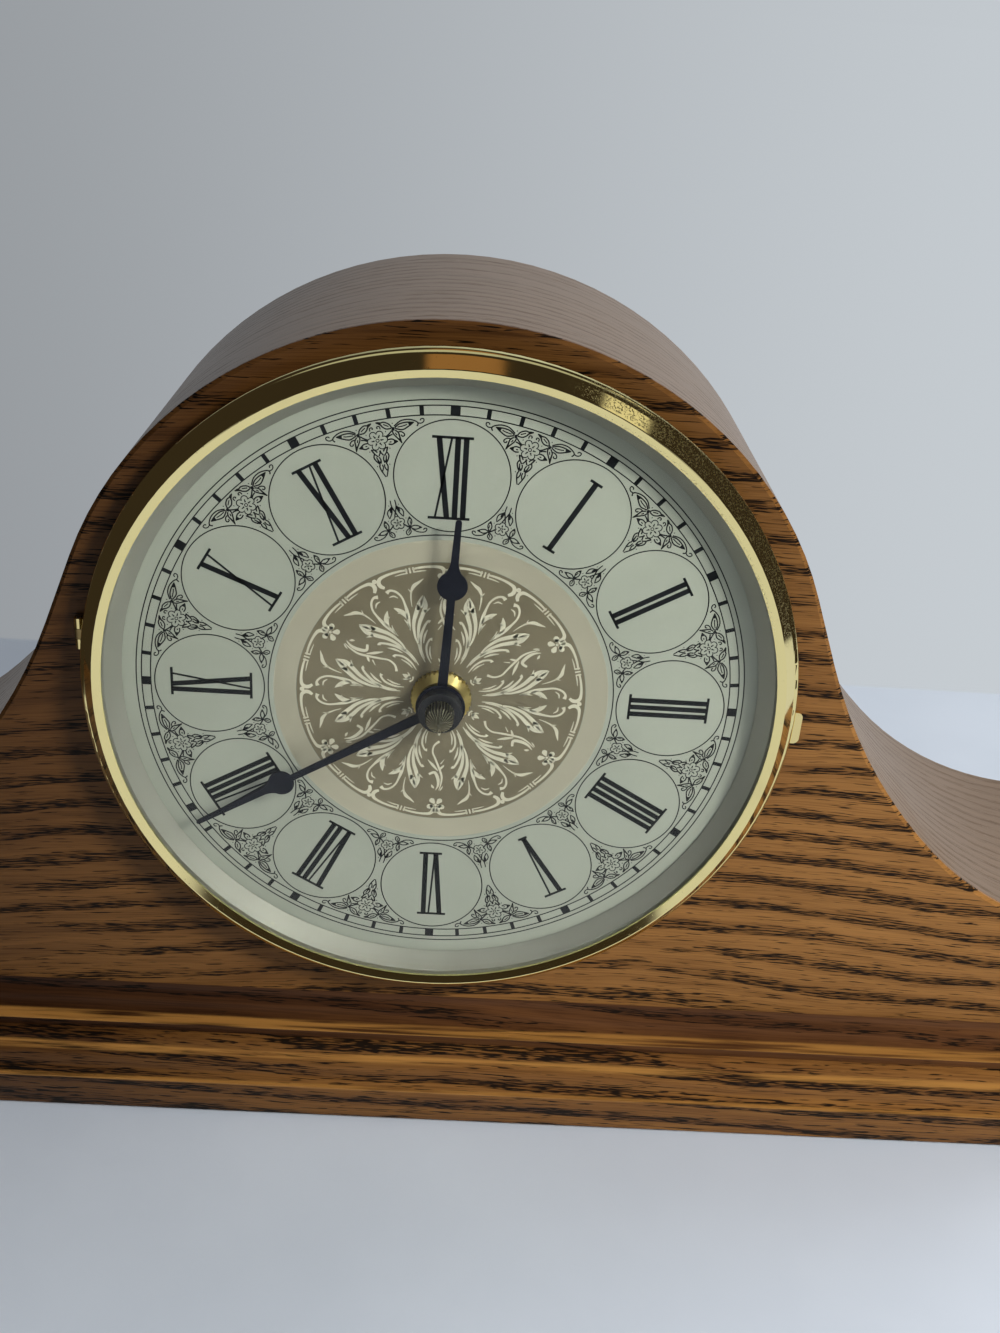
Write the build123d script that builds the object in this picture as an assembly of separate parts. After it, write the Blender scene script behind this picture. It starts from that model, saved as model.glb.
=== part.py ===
from build123d import *
import math
import os

# Mantel clock with a humped oak case, a hinged brass bezel and a battery movement.
# X is to the right, Y away from the viewer and Z up, in millimetres.
# The origin is on the table, under the middle of the base.
# Case sizes are heights above the table. The dial, the bezel, the hands and the movement are
# drawn about the dial centre, with y = 0 on the front of the dial plate, and moved into place.

# How far a cut runs past the face that it starts or ends on, and how near an edge counts as on a face
overshoot = 1.0
face_tolerance = 0.01

# Where the dial sits in the clock
dial_height = 107.6
dial_front = -28.5
plate_thickness = 0.6
ring_thickness = 0.6

# Outline of the case, from the top of the hump down to the base
hump_top = dial_height + 78.8
hump_radius = 82.6
hump_turn = 68.4
flank_length = 16.7
waist_radius = 129.0
waist_turn = 24.8
foot_radius = 75.4
foot_turn = hump_turn - waist_turn

# Case boards
base_width = 400.0
case_front = dial_front + plate_thickness + ring_thickness
case_depth = 70.0
case_rear = case_front + case_depth
skin = 2.4
arris = 0.8
front_board_thickness = 12.0
front_lip = 1.6
lip_back = case_front + front_lip
dial_opening_radius = 62.0
rear_inset = 4.0
rear_board_thickness = 10.0

# Base board with its beaded edge, and the cove strips in the corner above it
pad_thickness = 0.9
pad_radius = 7.0
pad_inset = 21.0
fascia_height = 8.5
nosing_step = 2.2
bead_depth = 5.6
bead_height = 6.0
cove_step_depth = 2.0
cove_step_height = 2.1
cove_size = 5.6
cove_strip_depth = cove_size + cove_step_depth
base_overhang = cove_strip_depth + bead_depth + nosing_step
base_top = pad_thickness + fascia_height + nosing_step + bead_height
base_half_width = base_width / 2
half_width = base_half_width - base_overhang
base_front = case_front - base_overhang
rear_face = case_rear - rear_inset

# Glue blocks and the screws that hold the base
block_length = 36.0
block_size = 16.0
block_chamfer = 5.0
block_x = 118.0
base_screw_length = 27.0
base_screw_radius = 1.75
base_screw_head = 3.6
base_screw_head_height = 2.1
base_screw_slot = 0.8

# Rear opening, door, hinges, knob and turn button, seen from the front
door_left = -58.0
door_right = 58.0
door_low = dial_height - 58.0
door_high = dial_height + 36.0
door_gap = 0.4
door_thickness = 6.0
door_seat_gap = 0.1
door_stop = 4.0
rear_hinge_heights = (dial_height - 40.0, dial_height + 18.0)
rear_hinge_length = 18.0
rear_leaf_width = 8.5
rear_leaf_thickness = 0.8
rear_barrel_radius = 1.5
rear_pin_radius = 0.7
rear_pin_head = 0.6
rear_pin_clearance = 0.05
rear_barrel_lift = 0.1
leaf_clear = rear_barrel_radius + 0.1
rear_axis_x = door_right + door_gap / 2
rear_axis_y = rear_face + rear_barrel_radius + rear_barrel_lift
hinge_screw_head = 1.4
hinge_screw_dome = 0.6
hinge_screw_radius = 0.75
hinge_screw_length = 5.0
hinge_screw_spacing = 10.0
knob_x = door_left + 9.0
knob_height = dial_height - 30.0
knob_screw_radius = 1.0
knob_screw_length = 4.0
button_x = door_left - 4.0
button_height = dial_height - 11.0
button_reach = 9.0
button_width = 5.0
button_thickness = 1.0
button_lift = 0.1
button_play = 0.1
button_screw_radius = 1.2
button_screw_length = 7.0
button_screw_head = 2.6
button_screw_dome = 1.2

# Turned profile of the door knob: radius and height off the door
knob_profile = ((3.2, 0.0), (2.4, 1.0), (2.4, 1.6), (4.4, 2.4), (4.0, 3.4), (0.0, 3.8))

# Round screw heads, in shares of the head's radius and of its height
screw_edge_share = 0.4
screw_crown_share = 0.6
screw_slot_depth = 0.5
screw_slot_width = 0.14

# Mounting ring, dial plate and their screws
ring_inner = 63.5
plate_radius = 73.0
dial_screw_circle = 71.0
dial_screw_angles = (45, 135, 225, 315)
dial_screw_radius = 0.9
dial_screw_head = 1.6
dial_screw_dome = 0.8
dial_screw_length = 8.0
screw_clearance = 0.1

# Bezel door: spun ring with a bead round its side, convex glass and the reflector ring behind it
bezel_radius = 74.3
bezel_wall = 1.0
bezel_back = 0.5
bead_radius = 75.1
bead_level = -2.9
bead_shoulder = (74.75, -3.8)
bead_front_radius = 73.9
bead_front = -4.4
bezel_crest_radius = 71.8
bezel_crest = -6.9
bezel_crest_width = 0.2
rim_radius = 70.0
rim_front = -6.25
rim_back = -5.75
glass_pocket = 72.1
pocket_back = -4.3
glass_radius = 71.8
glass_thickness = 1.2
glass_seat = -5.7
glass_rise = 12.7
reflector_outer = 73.2
reflector_front = -4.1
reflector_back = -0.35
reflector_front_radius = 69.8
reflector_back_radius = 67.0
reflector_thickness = 0.6

# Bezel hinge on the left and thumb tab on the right
hinge_x = -75.4
hinge_y = 0.15
hinge_z = 10.2
hinge_length = 7.0
hinge_radius = 1.0
hinge_pin_radius = 0.45
hinge_pin_clearance = 0.05
knuckle_gap = 0.1
lug_reach = 3.0
lug_thickness = 0.6
lug_lift = 0.05
tab_z = -1.7
tab_width = 7.4
tab_reach = 76.8
tab_front = -2.6
tab_thickness = 1.0
tab_corner = 1.2

# Hands
hand_thickness = 0.4
hour_hand_front = -4.2
minute_hand_front = -5.3
hour_hand_angle = 2.5
minute_hand_angle = 238.5
hour_hub = 4.4
hour_bulge = 3.1
hour_bulge_distance = 27.2
hour_length = 41.4
hour_stem = (2.2, 1.6)
hour_needle = (1.6, 1.3)
hour_collar_wall = 0.7
hour_collar_length = 0.9
minute_hub = 5.2
minute_bulge = 2.8
minute_bulge_distance = 39.0
minute_length = 60.5
minute_stem = (2.3, 1.3)
minute_needle = (1.6, 1.0)

# Shape of both hands above the middle of the bulge, the rises in shares of its radius
needle_rise = 1.9
flank_rise = 1.13
flank_share = 0.2
shoulder_angle = 25.0

# Cap nut on the minute arbor, and the nut that holds the movement
cap_flange_radius = 4.6
cap_flange_front = -7.8
cap_radius = 2.9
cap_shoulder = -10.6
cap_tip = -13.2
cap_tip_radius = 0.45
cap_flutes = 26
arbor_tip_radius = 0.9
arbor_tip = cap_shoulder + 0.3
cap_bore_gap = 0.1
flute_depth = 0.22
nut_radius = 6.4
nut_front = -3.0
nut_ridges = 36
nut_ridge_depth = 0.3
nut_slope = 1.6
nut_edge = 1.0
ridge_tip_share = 0.18
ridge_root_share = 0.32
flute_tip_share = 0.2
flute_root_share = 0.3
washer_radius = 6.2
washer_thickness = 0.4
bushing_radius = 4.0
bushing_front = -3.2
bushing_bore = 2.46
bushing_chamfer = 0.4
bushing_flange_width = 1.5
bushing_flange = 0.4
gasket_radius = 9.0

# Movement, with depths measured back from the front of its case
movement_front = 1.4
movement_size = 56.0
movement_corner = 3.0
movement_depth = 16.0
wall = 1.2
bay_top = -12.1
battery_radius = 7.1
battery_length = 49.2
battery_nub_radius = 2.7
battery_nub_length = 1.3
battery_z = -19.45
battery_depth = 8.6
lead_left, lead_right = -25.6, 25.4
lead_slot_half = 0.5
lead_slot_depth = 3.0
contact_thickness = 0.3
contact_gap = 0.2
contact_depth = 11.0
contact_low = -26.0
tongue_depth = 2.4
positive_reach = -3.0
strip_gap = 0.3
strip_depth = 1.4
strip_right = 20.0

# Circuit board, chip and crystal: limits seen from the front, and depths
board_x, board_z = (14.2, 24.8), (-9.0, 24.0)
board_front = 3.0
board_thickness = 0.8
chip_place = (19.5, 2.0)
chip_radius = 2.6
chip_height = 1.0
crystal_place = (19.5, 12.0)
crystal_radius = 1.0
crystal_length = 6.0

# Arbors and fits
minute_arbor_radius = 1.6
hour_tube_radius = 2.4
running_fit = 0.06
arbor_radius = 0.45
pivot_radius = 0.3
pivot_fit = 0.05
pivot_length = 1.0
post_radius = 0.6
arbor_shoulder = 0.3
end_play = 0.1
arbor_waist_radius = 1.0
bridge_front = 13.0
bridge_thickness = 1.0
pillar_radius = 1.2
bridge_margin = pillar_radius + 0.5
pillars = ((12.2, -3.0), (-4.0, -9.0), (12.5, 19.0), (-15.0, 8.6))

# Teeth: a straight-sided form, in shares of the module and of the tooth pitch
addendum = 0.85
dedendum = 1.2
tip_share = 0.09
root_share = 0.19

# Hubs and windows of the wheels, and how far a pinion reaches past the wheel it meshes with
centre_hub_radius = 2.8
centre_hub_rise = 0.7
train_hub_radius = 1.6
window_count = 5
window_share = 0.8
rim_share = 3.0
pinion_margin = 0.2
motion_margin = 0.1

# Wheels: teeth and modules of each meshing pair
centre_teeth, third_leaves, centre_module = 64, 8, 0.25
third_teeth, seconds_leaves, third_module = 60, 8, 0.2
seconds_teeth, step_leaves, seconds_module = 60, 10, 0.18
step_teeth, rotor_leaves, step_module = 60, 12, 0.15
minute_teeth, cannon_leaves, minute_module = 36, 12, 0.36
hour_teeth, minute_leaves = 40, 10
knob_leaves = 12
motion_distance = minute_module * (minute_teeth + cannon_leaves) / 2
hour_module = 2 * motion_distance / (hour_teeth + minute_leaves)

# Direction from each wheel to the next one of its train, in degrees from +X towards +Z
third_direction = 40.0
seconds_direction = 90.0
step_direction = 180.0
rotor_direction = 180.0
minute_direction = 160.0
knob_direction = 180.0
cannon_phase = minute_direction

# Depths of the layers of wheels
wheel_thickness = 1.0
hour_layer = 1.8
minute_layer = 3.2
centre_layer = 5.2
third_layer = 7.0
seconds_layer = 9.0
step_layer = 11.0

# Section of the slipping washer: radius and distance in front of its rim
clutch_section = ((2.4, 0.5), (3.4, 0.2), (3.4, 0.0), (2.2, 0.3))
clutch_gap = 0.1
clutch_front, clutch_back = 0.5, 0.3

# Motor: rotor magnet, stator and coil
magnet_radius = 3.0
magnet_front = 6.0
magnet_back = 8.6
stator_front = 6.8
stator_thickness = 1.0
stator_hole = 3.5
stator_ring = 5.5
stator_arm = 3.0
coil_left, coil_right, coil_z = -20.0, 0.0, 22.0
coil_clearance = 0.2
core_left = coil_left - coil_clearance - stator_arm
core_right = coil_right + coil_clearance + stator_arm
coil_tube = 1.8
coil_winding_radius = 3.7
coil_depth = movement_front + stator_front + 1.5 * stator_thickness
coil_flange = 4.2
coil_flange_thickness = 0.8
stator_relief = 0.3
core_height = 2.6

# Setting knob on the back of the movement
knob_shaft_radius = 1.2
setting_knob_radius = 4.5
setting_knob_front = 16.2
setting_knob_back = 18.8
setting_knob_ribs = 24
setting_knob_rib_depth = 0.35
knob_shaft_fit = 0.1
knob_pivot_front = 0.5


def polar(distance, angle):
    """Point at a distance from the axis, at an angle from +X towards +Z."""
    turn = math.radians(angle)
    return distance * math.cos(turn), distance * math.sin(turn)


def turned(points):
    """Solid turned about the dial axis from (radius, y) points."""
    return revolve(make_face(Polyline(*points, close=True)), Axis.Y, 360)


def pipe(outer, inner, front, back):
    """Ring or tube about the dial axis."""
    return turned([(inner, front), (outer, front), (outer, back), (inner, back)])


def rod(radius, front, back, place=(0, 0)):
    """Round bar along the dial axis, or beside it."""
    return slab(Pos(*place) * Circle(radius), front, back)


def slab(sketch, front, back):
    """Sketch as seen from the front, made solid from y = front to y = back."""
    plane = Plane((0, front, 0), x_dir=(1, 0, 0), z_dir=(0, -1, 0))
    return extrude(plane * sketch, amount=front - back)


def rectangle(x, z):
    """Rectangle between pairs of limits, in a front view."""
    return Pos(sum(x) / 2, sum(z) / 2) * Rectangle(x[1] - x[0], z[1] - z[0])


def box(x, y, z):
    """Box between pairs of limits."""
    centre = (sum(x) / 2, sum(y) / 2, sum(z) / 2)
    return Pos(*centre) * Box(x[1] - x[0], y[1] - y[0], z[1] - z[0])


def joined(solids):
    """Solids fused into one, in order."""
    whole = solids[0]
    for solid in solids[1:]:
        whole = whole + solid
    return whole


def group(solids):
    """Like pieces that stay separate solids of one node."""
    return Compound(children=list(solids))


def upper_edges(inset):
    """Right half of the case outline, from the top of the hump to the start of the toe."""
    place, heading = Vector(0, hump_top - inset), Vector(1, 0)
    edges = []
    for radius, turn in (
        (hump_radius - inset, -hump_turn),
        (None, flank_length),
        (waist_radius + inset, waist_turn),
        (foot_radius + inset, foot_turn),
    ):
        edge = JernArc(place, heading, radius, turn) if radius else Line(place, place + heading * turn)
        place, heading = edge @ 1, edge % 1
        edges.append(edge)
    return edges


def case_outline(inset):
    """Front view of the case, set in by the given distance, as a closed face."""
    edges = upper_edges(inset)
    toe_start = edges[-1] @ 1
    toe = JernArc(toe_start, (1, 0), half_width - inset - toe_start.X, -90)
    toe_end = toe @ 1
    edges += [
        toe,
        Line(toe_end, (toe_end.X, base_top)),
        Line((toe_end.X, base_top), (0, base_top)),
        Line((0, base_top), (0, hump_top - inset)),
    ]
    half = make_face(edges)
    return half + mirror(half, Plane.YZ)


# Oak case


def front_board():
    """Front board, rebated for the skin, with a softened arris, the round opening and its screw holes."""
    lip = slab(case_outline(0), case_front, lip_back)
    near, far = case_front - face_tolerance, case_front + face_tolerance
    front_edges = lip.edges().filter_by_position(Axis.Y, near, far)
    upper_front = [edge for edge in front_edges if edge.center().Z > base_top + arris]
    board = chamfer(upper_front, arris)
    board += slab(case_outline(skin), lip_back, case_front + front_board_thickness)
    board -= at_dial(rod(dial_opening_radius, 0, front_board_thickness + 2 * overshoot))
    for place in dial_screw_places():
        board -= at_dial(rod(dial_screw_radius, 0, dial_screw_length, place))
    return board


def rear_board():
    """Rear board with a rebated opening for the door."""
    inner = (door_left + door_stop, door_right - door_stop), (door_low + door_stop, door_high - door_stop)
    board = slab(case_outline(skin), rear_face - rear_board_thickness, rear_face)
    rebate = rear_face - door_thickness, rear_face + overshoot
    board -= box((door_left, door_right), rebate, (door_low, door_high))
    board -= box(inner[0], (rear_face - rear_board_thickness - overshoot, rear_face), inner[1])
    for place in leaf_screw_places(1):
        board -= rod(hinge_screw_radius, rear_face - hinge_screw_length, rear_face, place)
    board -= rod(button_screw_radius, rear_face - button_screw_length, rear_face, (button_x, button_height))
    return board


def top_skin():
    """Thin oak skin bent over both boards, behind the lip of the front board."""
    whole = slab(case_outline(0), lip_back, case_rear)
    inside = slab(case_outline(skin), lip_back - overshoot, case_rear + overshoot)
    return whole - inside


def moulding_face(flat_edge, overhang_edge, direction):
    """Section of the beaded base edge: fascia, small hollow, bead and flat top."""
    low, high = pad_thickness, base_top
    nosing = low + fascia_height
    bead_low = nosing + nosing_step
    hollow_end = overhang_edge - direction * nosing_step
    bead_end = hollow_end - direction * bead_depth
    diagonal = math.sqrt(0.5)
    bead_middle = (hollow_end - direction * bead_depth * (1 - diagonal), bead_low + bead_height * diagonal)
    hollow_middle = (
        overhang_edge - direction * nosing_step * diagonal, nosing + nosing_step * (1 - diagonal))
    return make_face([
        Line((flat_edge, low), (overhang_edge, low)),
        Line((overhang_edge, low), (overhang_edge, nosing)),
        ThreePointArc((overhang_edge, nosing), hollow_middle, (hollow_end, bead_low)),
        ThreePointArc((hollow_end, bead_low), bead_middle, (bead_end, high)),
        Line((bead_end, high), (flat_edge, high)),
        Line((flat_edge, high), (flat_edge, low)),
    ])


def base_board():
    """Base board, beaded along the front and both ends, with countersunk screw holes."""
    side_view = Plane((0, 0, 0), x_dir=(0, 1, 0), z_dir=(1, 0, 0))
    front_section = side_view * moulding_face(case_rear, base_front, -1)
    front_run = extrude(front_section, amount=base_half_width, both=True)
    right_half = moulding_face(0, base_half_width, 1)
    ends = slab(right_half + mirror(right_half, Plane.YZ), base_front - overshoot, case_rear)
    board = front_run & ends
    for x, y in block_places():
        board -= base_screw(x, y)
    return board


def cove_section():
    """Section of a cove strip, standing on the base board against a case board."""
    low = base_top
    step = low + cove_step_height
    high = step + cove_size
    diagonal = math.sqrt(0.5)
    middle = (cove_size * (1 - diagonal), high - cove_size * diagonal)
    return make_face([
        Line((0, low), (cove_strip_depth, low)),
        Line((cove_strip_depth, low), (cove_strip_depth, step)),
        Line((cove_strip_depth, step), (cove_size, step)),
        ThreePointArc((cove_size, step), middle, (0, high)),
        Line((0, high), (0, low)),
    ])


def cove_plan(points):
    """Upright prism that cuts a cove strip to its mitres."""
    return extrude(make_face(Polyline(*points, close=True)), amount=base_top * 2)


def cove_front():
    """Cove strip along the front, mitred at both ends."""
    section = Plane((-base_half_width, case_front, 0), x_dir=(0, -1, 0), z_dir=(-1, 0, 0))
    strip = extrude(section * cove_section(), amount=-2 * base_half_width)
    reach = half_width + cove_strip_depth
    near = case_front - cove_strip_depth
    corners = [(-half_width, case_front), (half_width, case_front), (reach, near), (-reach, near)]
    return strip & cove_plan(corners)


def cove_end(side):
    """Cove strip along one end, mitred at the front and cut square at the rear."""
    section = Plane((side * half_width, case_rear, 0), x_dir=(side, 0, 0), z_dir=(0, -side, 0))
    length = case_depth + 2 * cove_strip_depth
    strip = extrude(section * cove_section(), amount=side * length)
    near = side * half_width
    far = side * (half_width + cove_strip_depth)
    front = case_front - cove_strip_depth
    return strip & cove_plan([(near, case_front), (far, front), (far, case_rear), (near, case_rear)])


def block_places():
    """Screw centres of the four glue blocks."""
    front_row = case_front + front_board_thickness + block_size / 2
    rear_row = rear_face - rear_board_thickness - block_size / 2
    return [(x, y) for x in (-block_x, block_x) for y in (front_row, rear_row)]


def glue_block(x, y):
    """Block in the corner between a case board and the base, with its free corner cut off."""
    toward_board = -1 if y < (case_front + case_rear) / 2 else 1
    high = base_top + block_size
    block = box((x - block_length / 2, x + block_length / 2),
                (y - block_size / 2, y + block_size / 2), (base_top, high))
    free_edge = block.edges().filter_by(Axis.X).group_by(Axis.Z)[-1].sort_by(Axis.Y)
    edge = free_edge[-1] if toward_board < 0 else free_edge[0]
    return chamfer(edge, block_chamfer) - base_screw(x, y)


def base_screw(x, y):
    """Countersunk screw, driven up through the base board."""
    low = pad_thickness
    neck = low + base_screw_head_height
    top = low + base_screw_length
    profile = make_face(Polyline(
        (0, low), (base_screw_head, low), (base_screw_radius, neck),
        (base_screw_radius, top - 2 * base_screw_radius), (0, top), close=True))
    upright = Plane((0, 0, 0), x_dir=(1, 0, 0), z_dir=(0, -1, 0))
    return Pos(x, y, 0) * revolve(upright * profile, Axis.Z, 360)


def base_screws():
    """The four base screws, each with a drive slot."""
    slot = Box(2 * base_screw_head, base_screw_slot, 2 * base_screw_slot)
    return group(base_screw(x, y) - Pos(x, y, pad_thickness) * slot for x, y in block_places())


def felt_pads():
    """Four felt pads under the corners of the base."""
    x = base_half_width - pad_inset
    rows = (base_front + pad_inset / 2, case_rear - pad_inset / 2)
    return group(Pos(side * x, y, pad_thickness / 2) * Cylinder(pad_radius, pad_thickness)
                 for side in (-1, 1) for y in rows)


# Rear door


def leaf_screw_places(side):
    """Screw centres of the leaves on one side of the rear hinge axis."""
    x = rear_axis_x + side * (leaf_clear + (rear_leaf_width - leaf_clear) / 2)
    half = hinge_screw_spacing / 2
    return [(x, z + offset) for z in rear_hinge_heights for offset in (-half, half)]


def rear_door():
    """Door board in the rear opening, with holes for its hinge and knob screws."""
    front = rear_face - door_thickness + door_seat_gap
    door = box((door_left + door_gap, door_right - door_gap), (front, rear_face),
               (door_low + door_gap, door_high - door_gap))
    for place in leaf_screw_places(-1):
        door -= rod(hinge_screw_radius, rear_face - hinge_screw_length, rear_face, place)
    return door - rod(knob_screw_radius, rear_face - knob_screw_length, rear_face, (knob_x, knob_height))


def rear_leaf(side, z):
    """One leaf of a rear hinge: the plate, and its knuckles on the pin."""
    third = rear_hinge_length / 3
    low = z - rear_hinge_length / 2
    inner, outer = sorted((rear_axis_x + side * leaf_clear, rear_axis_x + side * rear_leaf_width))
    leaf = box((inner, outer), (rear_face, rear_face + rear_leaf_thickness), (low, low + rear_hinge_length))
    spans = [(low, low + third - knuckle_gap), (low + 2 * third + knuckle_gap, low + 3 * third)]
    if side < 0:
        spans = [(low + third, low + 2 * third)]
    bore = rear_pin_radius if side > 0 else rear_pin_radius + rear_pin_clearance
    for start, end in spans:
        near, far = sorted((rear_axis_x, rear_axis_x + side * (leaf_clear + overshoot)))
        strap = rear_face + rear_barrel_lift, rear_face + rear_leaf_thickness
        leaf += box((near, far), strap, (start, end))
        barrel = Pos(rear_axis_x, rear_axis_y, (start + end) / 2) * Cylinder(rear_barrel_radius, end - start)
        leaf += barrel
    leaf -= Pos(rear_axis_x, rear_axis_y, z) * Cylinder(bore, rear_hinge_length + 2 * overshoot)
    for place in leaf_screw_places(side):
        if abs(place[1] - z) < rear_hinge_length:
            leaf -= rod(hinge_screw_radius, rear_face - overshoot, rear_face + 2 * overshoot, place)
    return leaf


def rear_leaves(side):
    """Both leaves on one side of the rear hinge axis."""
    return group(rear_leaf(side, z) for z in rear_hinge_heights)


def rear_pins():
    """Pins of the two rear hinges, with small heads on top."""
    pins = []
    for z in rear_hinge_heights:
        pin = Pos(rear_axis_x, rear_axis_y, z) * Cylinder(rear_pin_radius, rear_hinge_length)
        head_middle = z + (rear_hinge_length + rear_pin_head) / 2
        head = Pos(rear_axis_x, rear_axis_y, head_middle) * Cylinder(rear_barrel_radius, rear_pin_head)
        pins.append(pin + head)
    return group(pins)


def domed_screw(place, face, head, dome, shank, length):
    """Round-head screw driven from behind into a face of the case, with a drive slot."""
    profile = make_face(Polyline(
        (0, face - length), (shank, face - length + 2 * shank), (shank, face), (head, face),
        (head, face + dome * screw_edge_share), (head * screw_crown_share, face + dome), (0, face + dome),
        close=True))
    screw = revolve(profile, Axis.Y, 360)
    half = head * screw_slot_width
    slot = box((-head, head), (face + dome * screw_slot_depth, face + dome + overshoot), (-half, half))
    return Pos(place[0], 0, place[1]) * (screw - slot)


def hinge_screws(side):
    """Screws of the leaves on one side of the rear hinge axis."""
    face = rear_face + rear_leaf_thickness
    length = hinge_screw_length + rear_leaf_thickness
    return group(domed_screw(place, face, hinge_screw_head, hinge_screw_dome, hinge_screw_radius, length)
                 for place in leaf_screw_places(side))


def rear_knob():
    """Small turned knob on the door, with its screw end in the wood."""
    screw_end = rear_face - knob_screw_length
    points = [(0, screw_end), (knob_screw_radius, screw_end), (knob_screw_radius, rear_face)]
    points += [(radius, rear_face + height) for radius, height in knob_profile]
    return Pos(knob_x, 0, knob_height) * turned(points)


def turn_button():
    """Brass bar that swings across the edge of the door. It stands upright, clear of the door."""
    front = rear_face + button_lift
    bar = SlotOverall(button_reach + button_width, button_width, rotation=90)
    hole = Pos(button_x, button_height) * Circle(button_screw_radius + button_play)
    shape = Pos(button_x, button_height + button_reach / 2) * bar - hole
    return slab(shape, front, front + button_thickness)


def turn_button_screw():
    """Shouldered screw that the turn button swings on."""
    face = rear_face + button_lift + button_thickness + button_play
    length = button_screw_length + face - rear_face
    place = (button_x, button_height)
    return domed_screw(place, face, button_screw_head, button_screw_dome, button_screw_radius, length)


# Dial


def at_dial(solid):
    """Moves what is drawn about the dial centre to its place in the clock."""
    return Pos(0, dial_front, dial_height) * solid


def dial_screw_places():
    """Centres of the four screws round the dial."""
    return [polar(dial_screw_circle, angle) for angle in dial_screw_angles]


def mounting_ring():
    """Flat brass ring on the front board, with two hinge knuckles on its left."""
    back = plate_thickness + ring_thickness
    ring = pipe(bezel_radius, ring_inner, plate_thickness, back)
    for place in dial_screw_places():
        ring -= rod(dial_screw_radius + screw_clearance, -overshoot, back + overshoot, place)
    third = hinge_length / 3
    for centre in (hinge_z - third, hinge_z + third):
        lug_height = third - knuckle_gap
        lug = box((hinge_x, hinge_x + lug_reach), (plate_thickness, back - lug_lift),
                  (centre - lug_height / 2, centre + lug_height / 2))
        barrel = Pos(hinge_x, hinge_y, centre) * Cylinder(hinge_radius, lug_height)
        ring += lug + barrel
    return ring - Pos(hinge_x, hinge_y, hinge_z) * Cylinder(hinge_pin_radius, hinge_length + 2 * overshoot)


def dial_plate():
    """Thin round dial plate, with the hole for the bushing."""
    plate = pipe(plate_radius, bushing_radius + screw_clearance, 0, plate_thickness)
    for place in dial_screw_places():
        plate -= rod(dial_screw_radius + screw_clearance, -overshoot, plate_thickness + overshoot, place)
    return plate


def dial_screws():
    """Four round-head screws through the dial plate and the mounting ring."""
    screws = []
    for place in dial_screw_places():
        screw = domed_screw((0, 0), 0, dial_screw_head, dial_screw_dome, dial_screw_radius, dial_screw_length)
        screws.append(Pos(place[0], 0, place[1]) * (Rot(0, 0, 180) * screw))
    return group(screws)


# Bezel door


def bezel_blank():
    """Outer form of the bezel, solid to the axis: tapered wall, bead, steep cone, crest and rim."""
    crest_inner = bezel_crest_radius - bezel_crest_width
    outer = [
        Line((0, bezel_back), (bezel_radius, bezel_back)),
        Line((bezel_radius, bezel_back), (bead_radius, bead_level)),
        ThreePointArc((bead_radius, bead_level), bead_shoulder, (bead_front_radius, bead_front)),
        Line((bead_front_radius, bead_front), (bezel_crest_radius, bezel_crest)),
        Line((bezel_crest_radius, bezel_crest), (crest_inner, bezel_crest)),
        Line((crest_inner, bezel_crest), (rim_radius, rim_front)),
        Line((rim_radius, rim_front), (0, rim_front)),
        Line((0, rim_front), (0, bezel_back)),
    ]
    return revolve(make_face(outer), Axis.Y, 360)


def bezel_ring():
    """Spun brass ring, hollowed for the rim's opening, the glass and the dial."""
    inner = bezel_radius - bezel_wall
    hollow = turned([
        (0, bezel_crest - overshoot), (rim_radius, bezel_crest - overshoot), (rim_radius, rim_back),
        (glass_pocket, rim_back), (inner, pocket_back), (inner, bezel_back + overshoot),
        (0, bezel_back + overshoot)])
    return bezel_blank() - hollow


def bezel_glass():
    """Convex glass, thin and domed, seated behind the rim."""
    edge_back = glass_seat + glass_thickness
    outer_radius = (rim_radius ** 2 + glass_rise ** 2) / (2 * glass_rise)
    apex = glass_seat - glass_rise
    middle = Pos(0, apex + outer_radius, 0)
    dome = rod(rim_radius, apex - overshoot, edge_back) & middle * Sphere(outer_radius)
    edge = rod(glass_radius, glass_seat, edge_back)
    return dome + edge - middle * Sphere(outer_radius - glass_thickness)


def reflector_ring():
    """Ring that holds the glass from behind and slopes in to the edge of the dial."""
    flange_back = reflector_front + reflector_thickness
    return turned([
        (reflector_outer, reflector_front), (reflector_front_radius, reflector_front),
        (reflector_back_radius, reflector_back),
        (reflector_back_radius + reflector_thickness, reflector_back),
        (reflector_front_radius + reflector_thickness, flange_back), (reflector_outer, flange_back)])


def bezel_knuckle():
    """Middle knuckle of the bezel hinge, on a lug that meets the side of the bezel."""
    height = hinge_length / 3 - knuckle_gap
    low, high = hinge_z - height / 2, hinge_z + height / 2
    front = hinge_y - hinge_radius
    lug = box((hinge_x, hinge_x + lug_reach), (front, front + lug_thickness), (low, high))
    barrel = Pos(hinge_x, hinge_y, hinge_z) * Cylinder(hinge_radius, height)
    bore = Pos(hinge_x, hinge_y, hinge_z) * Cylinder(hinge_pin_radius + hinge_pin_clearance, hinge_length)
    return lug + barrel - bore - bezel_blank()


def bezel_pin():
    """Pin of the bezel hinge, flush with the outer knuckles."""
    return Pos(hinge_x, hinge_y, hinge_z) * Cylinder(hinge_pin_radius, hinge_length - knuckle_gap)


def thumb_tab():
    """Small tab on the right of the bezel's side, to open it by."""
    shape = RectangleRounded(2 * tab_width, tab_width, tab_corner)
    tab = slab(Pos(tab_reach - tab_width, tab_z) * shape, tab_front, tab_front + tab_thickness)
    return tab - bezel_blank()


# Hands


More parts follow.
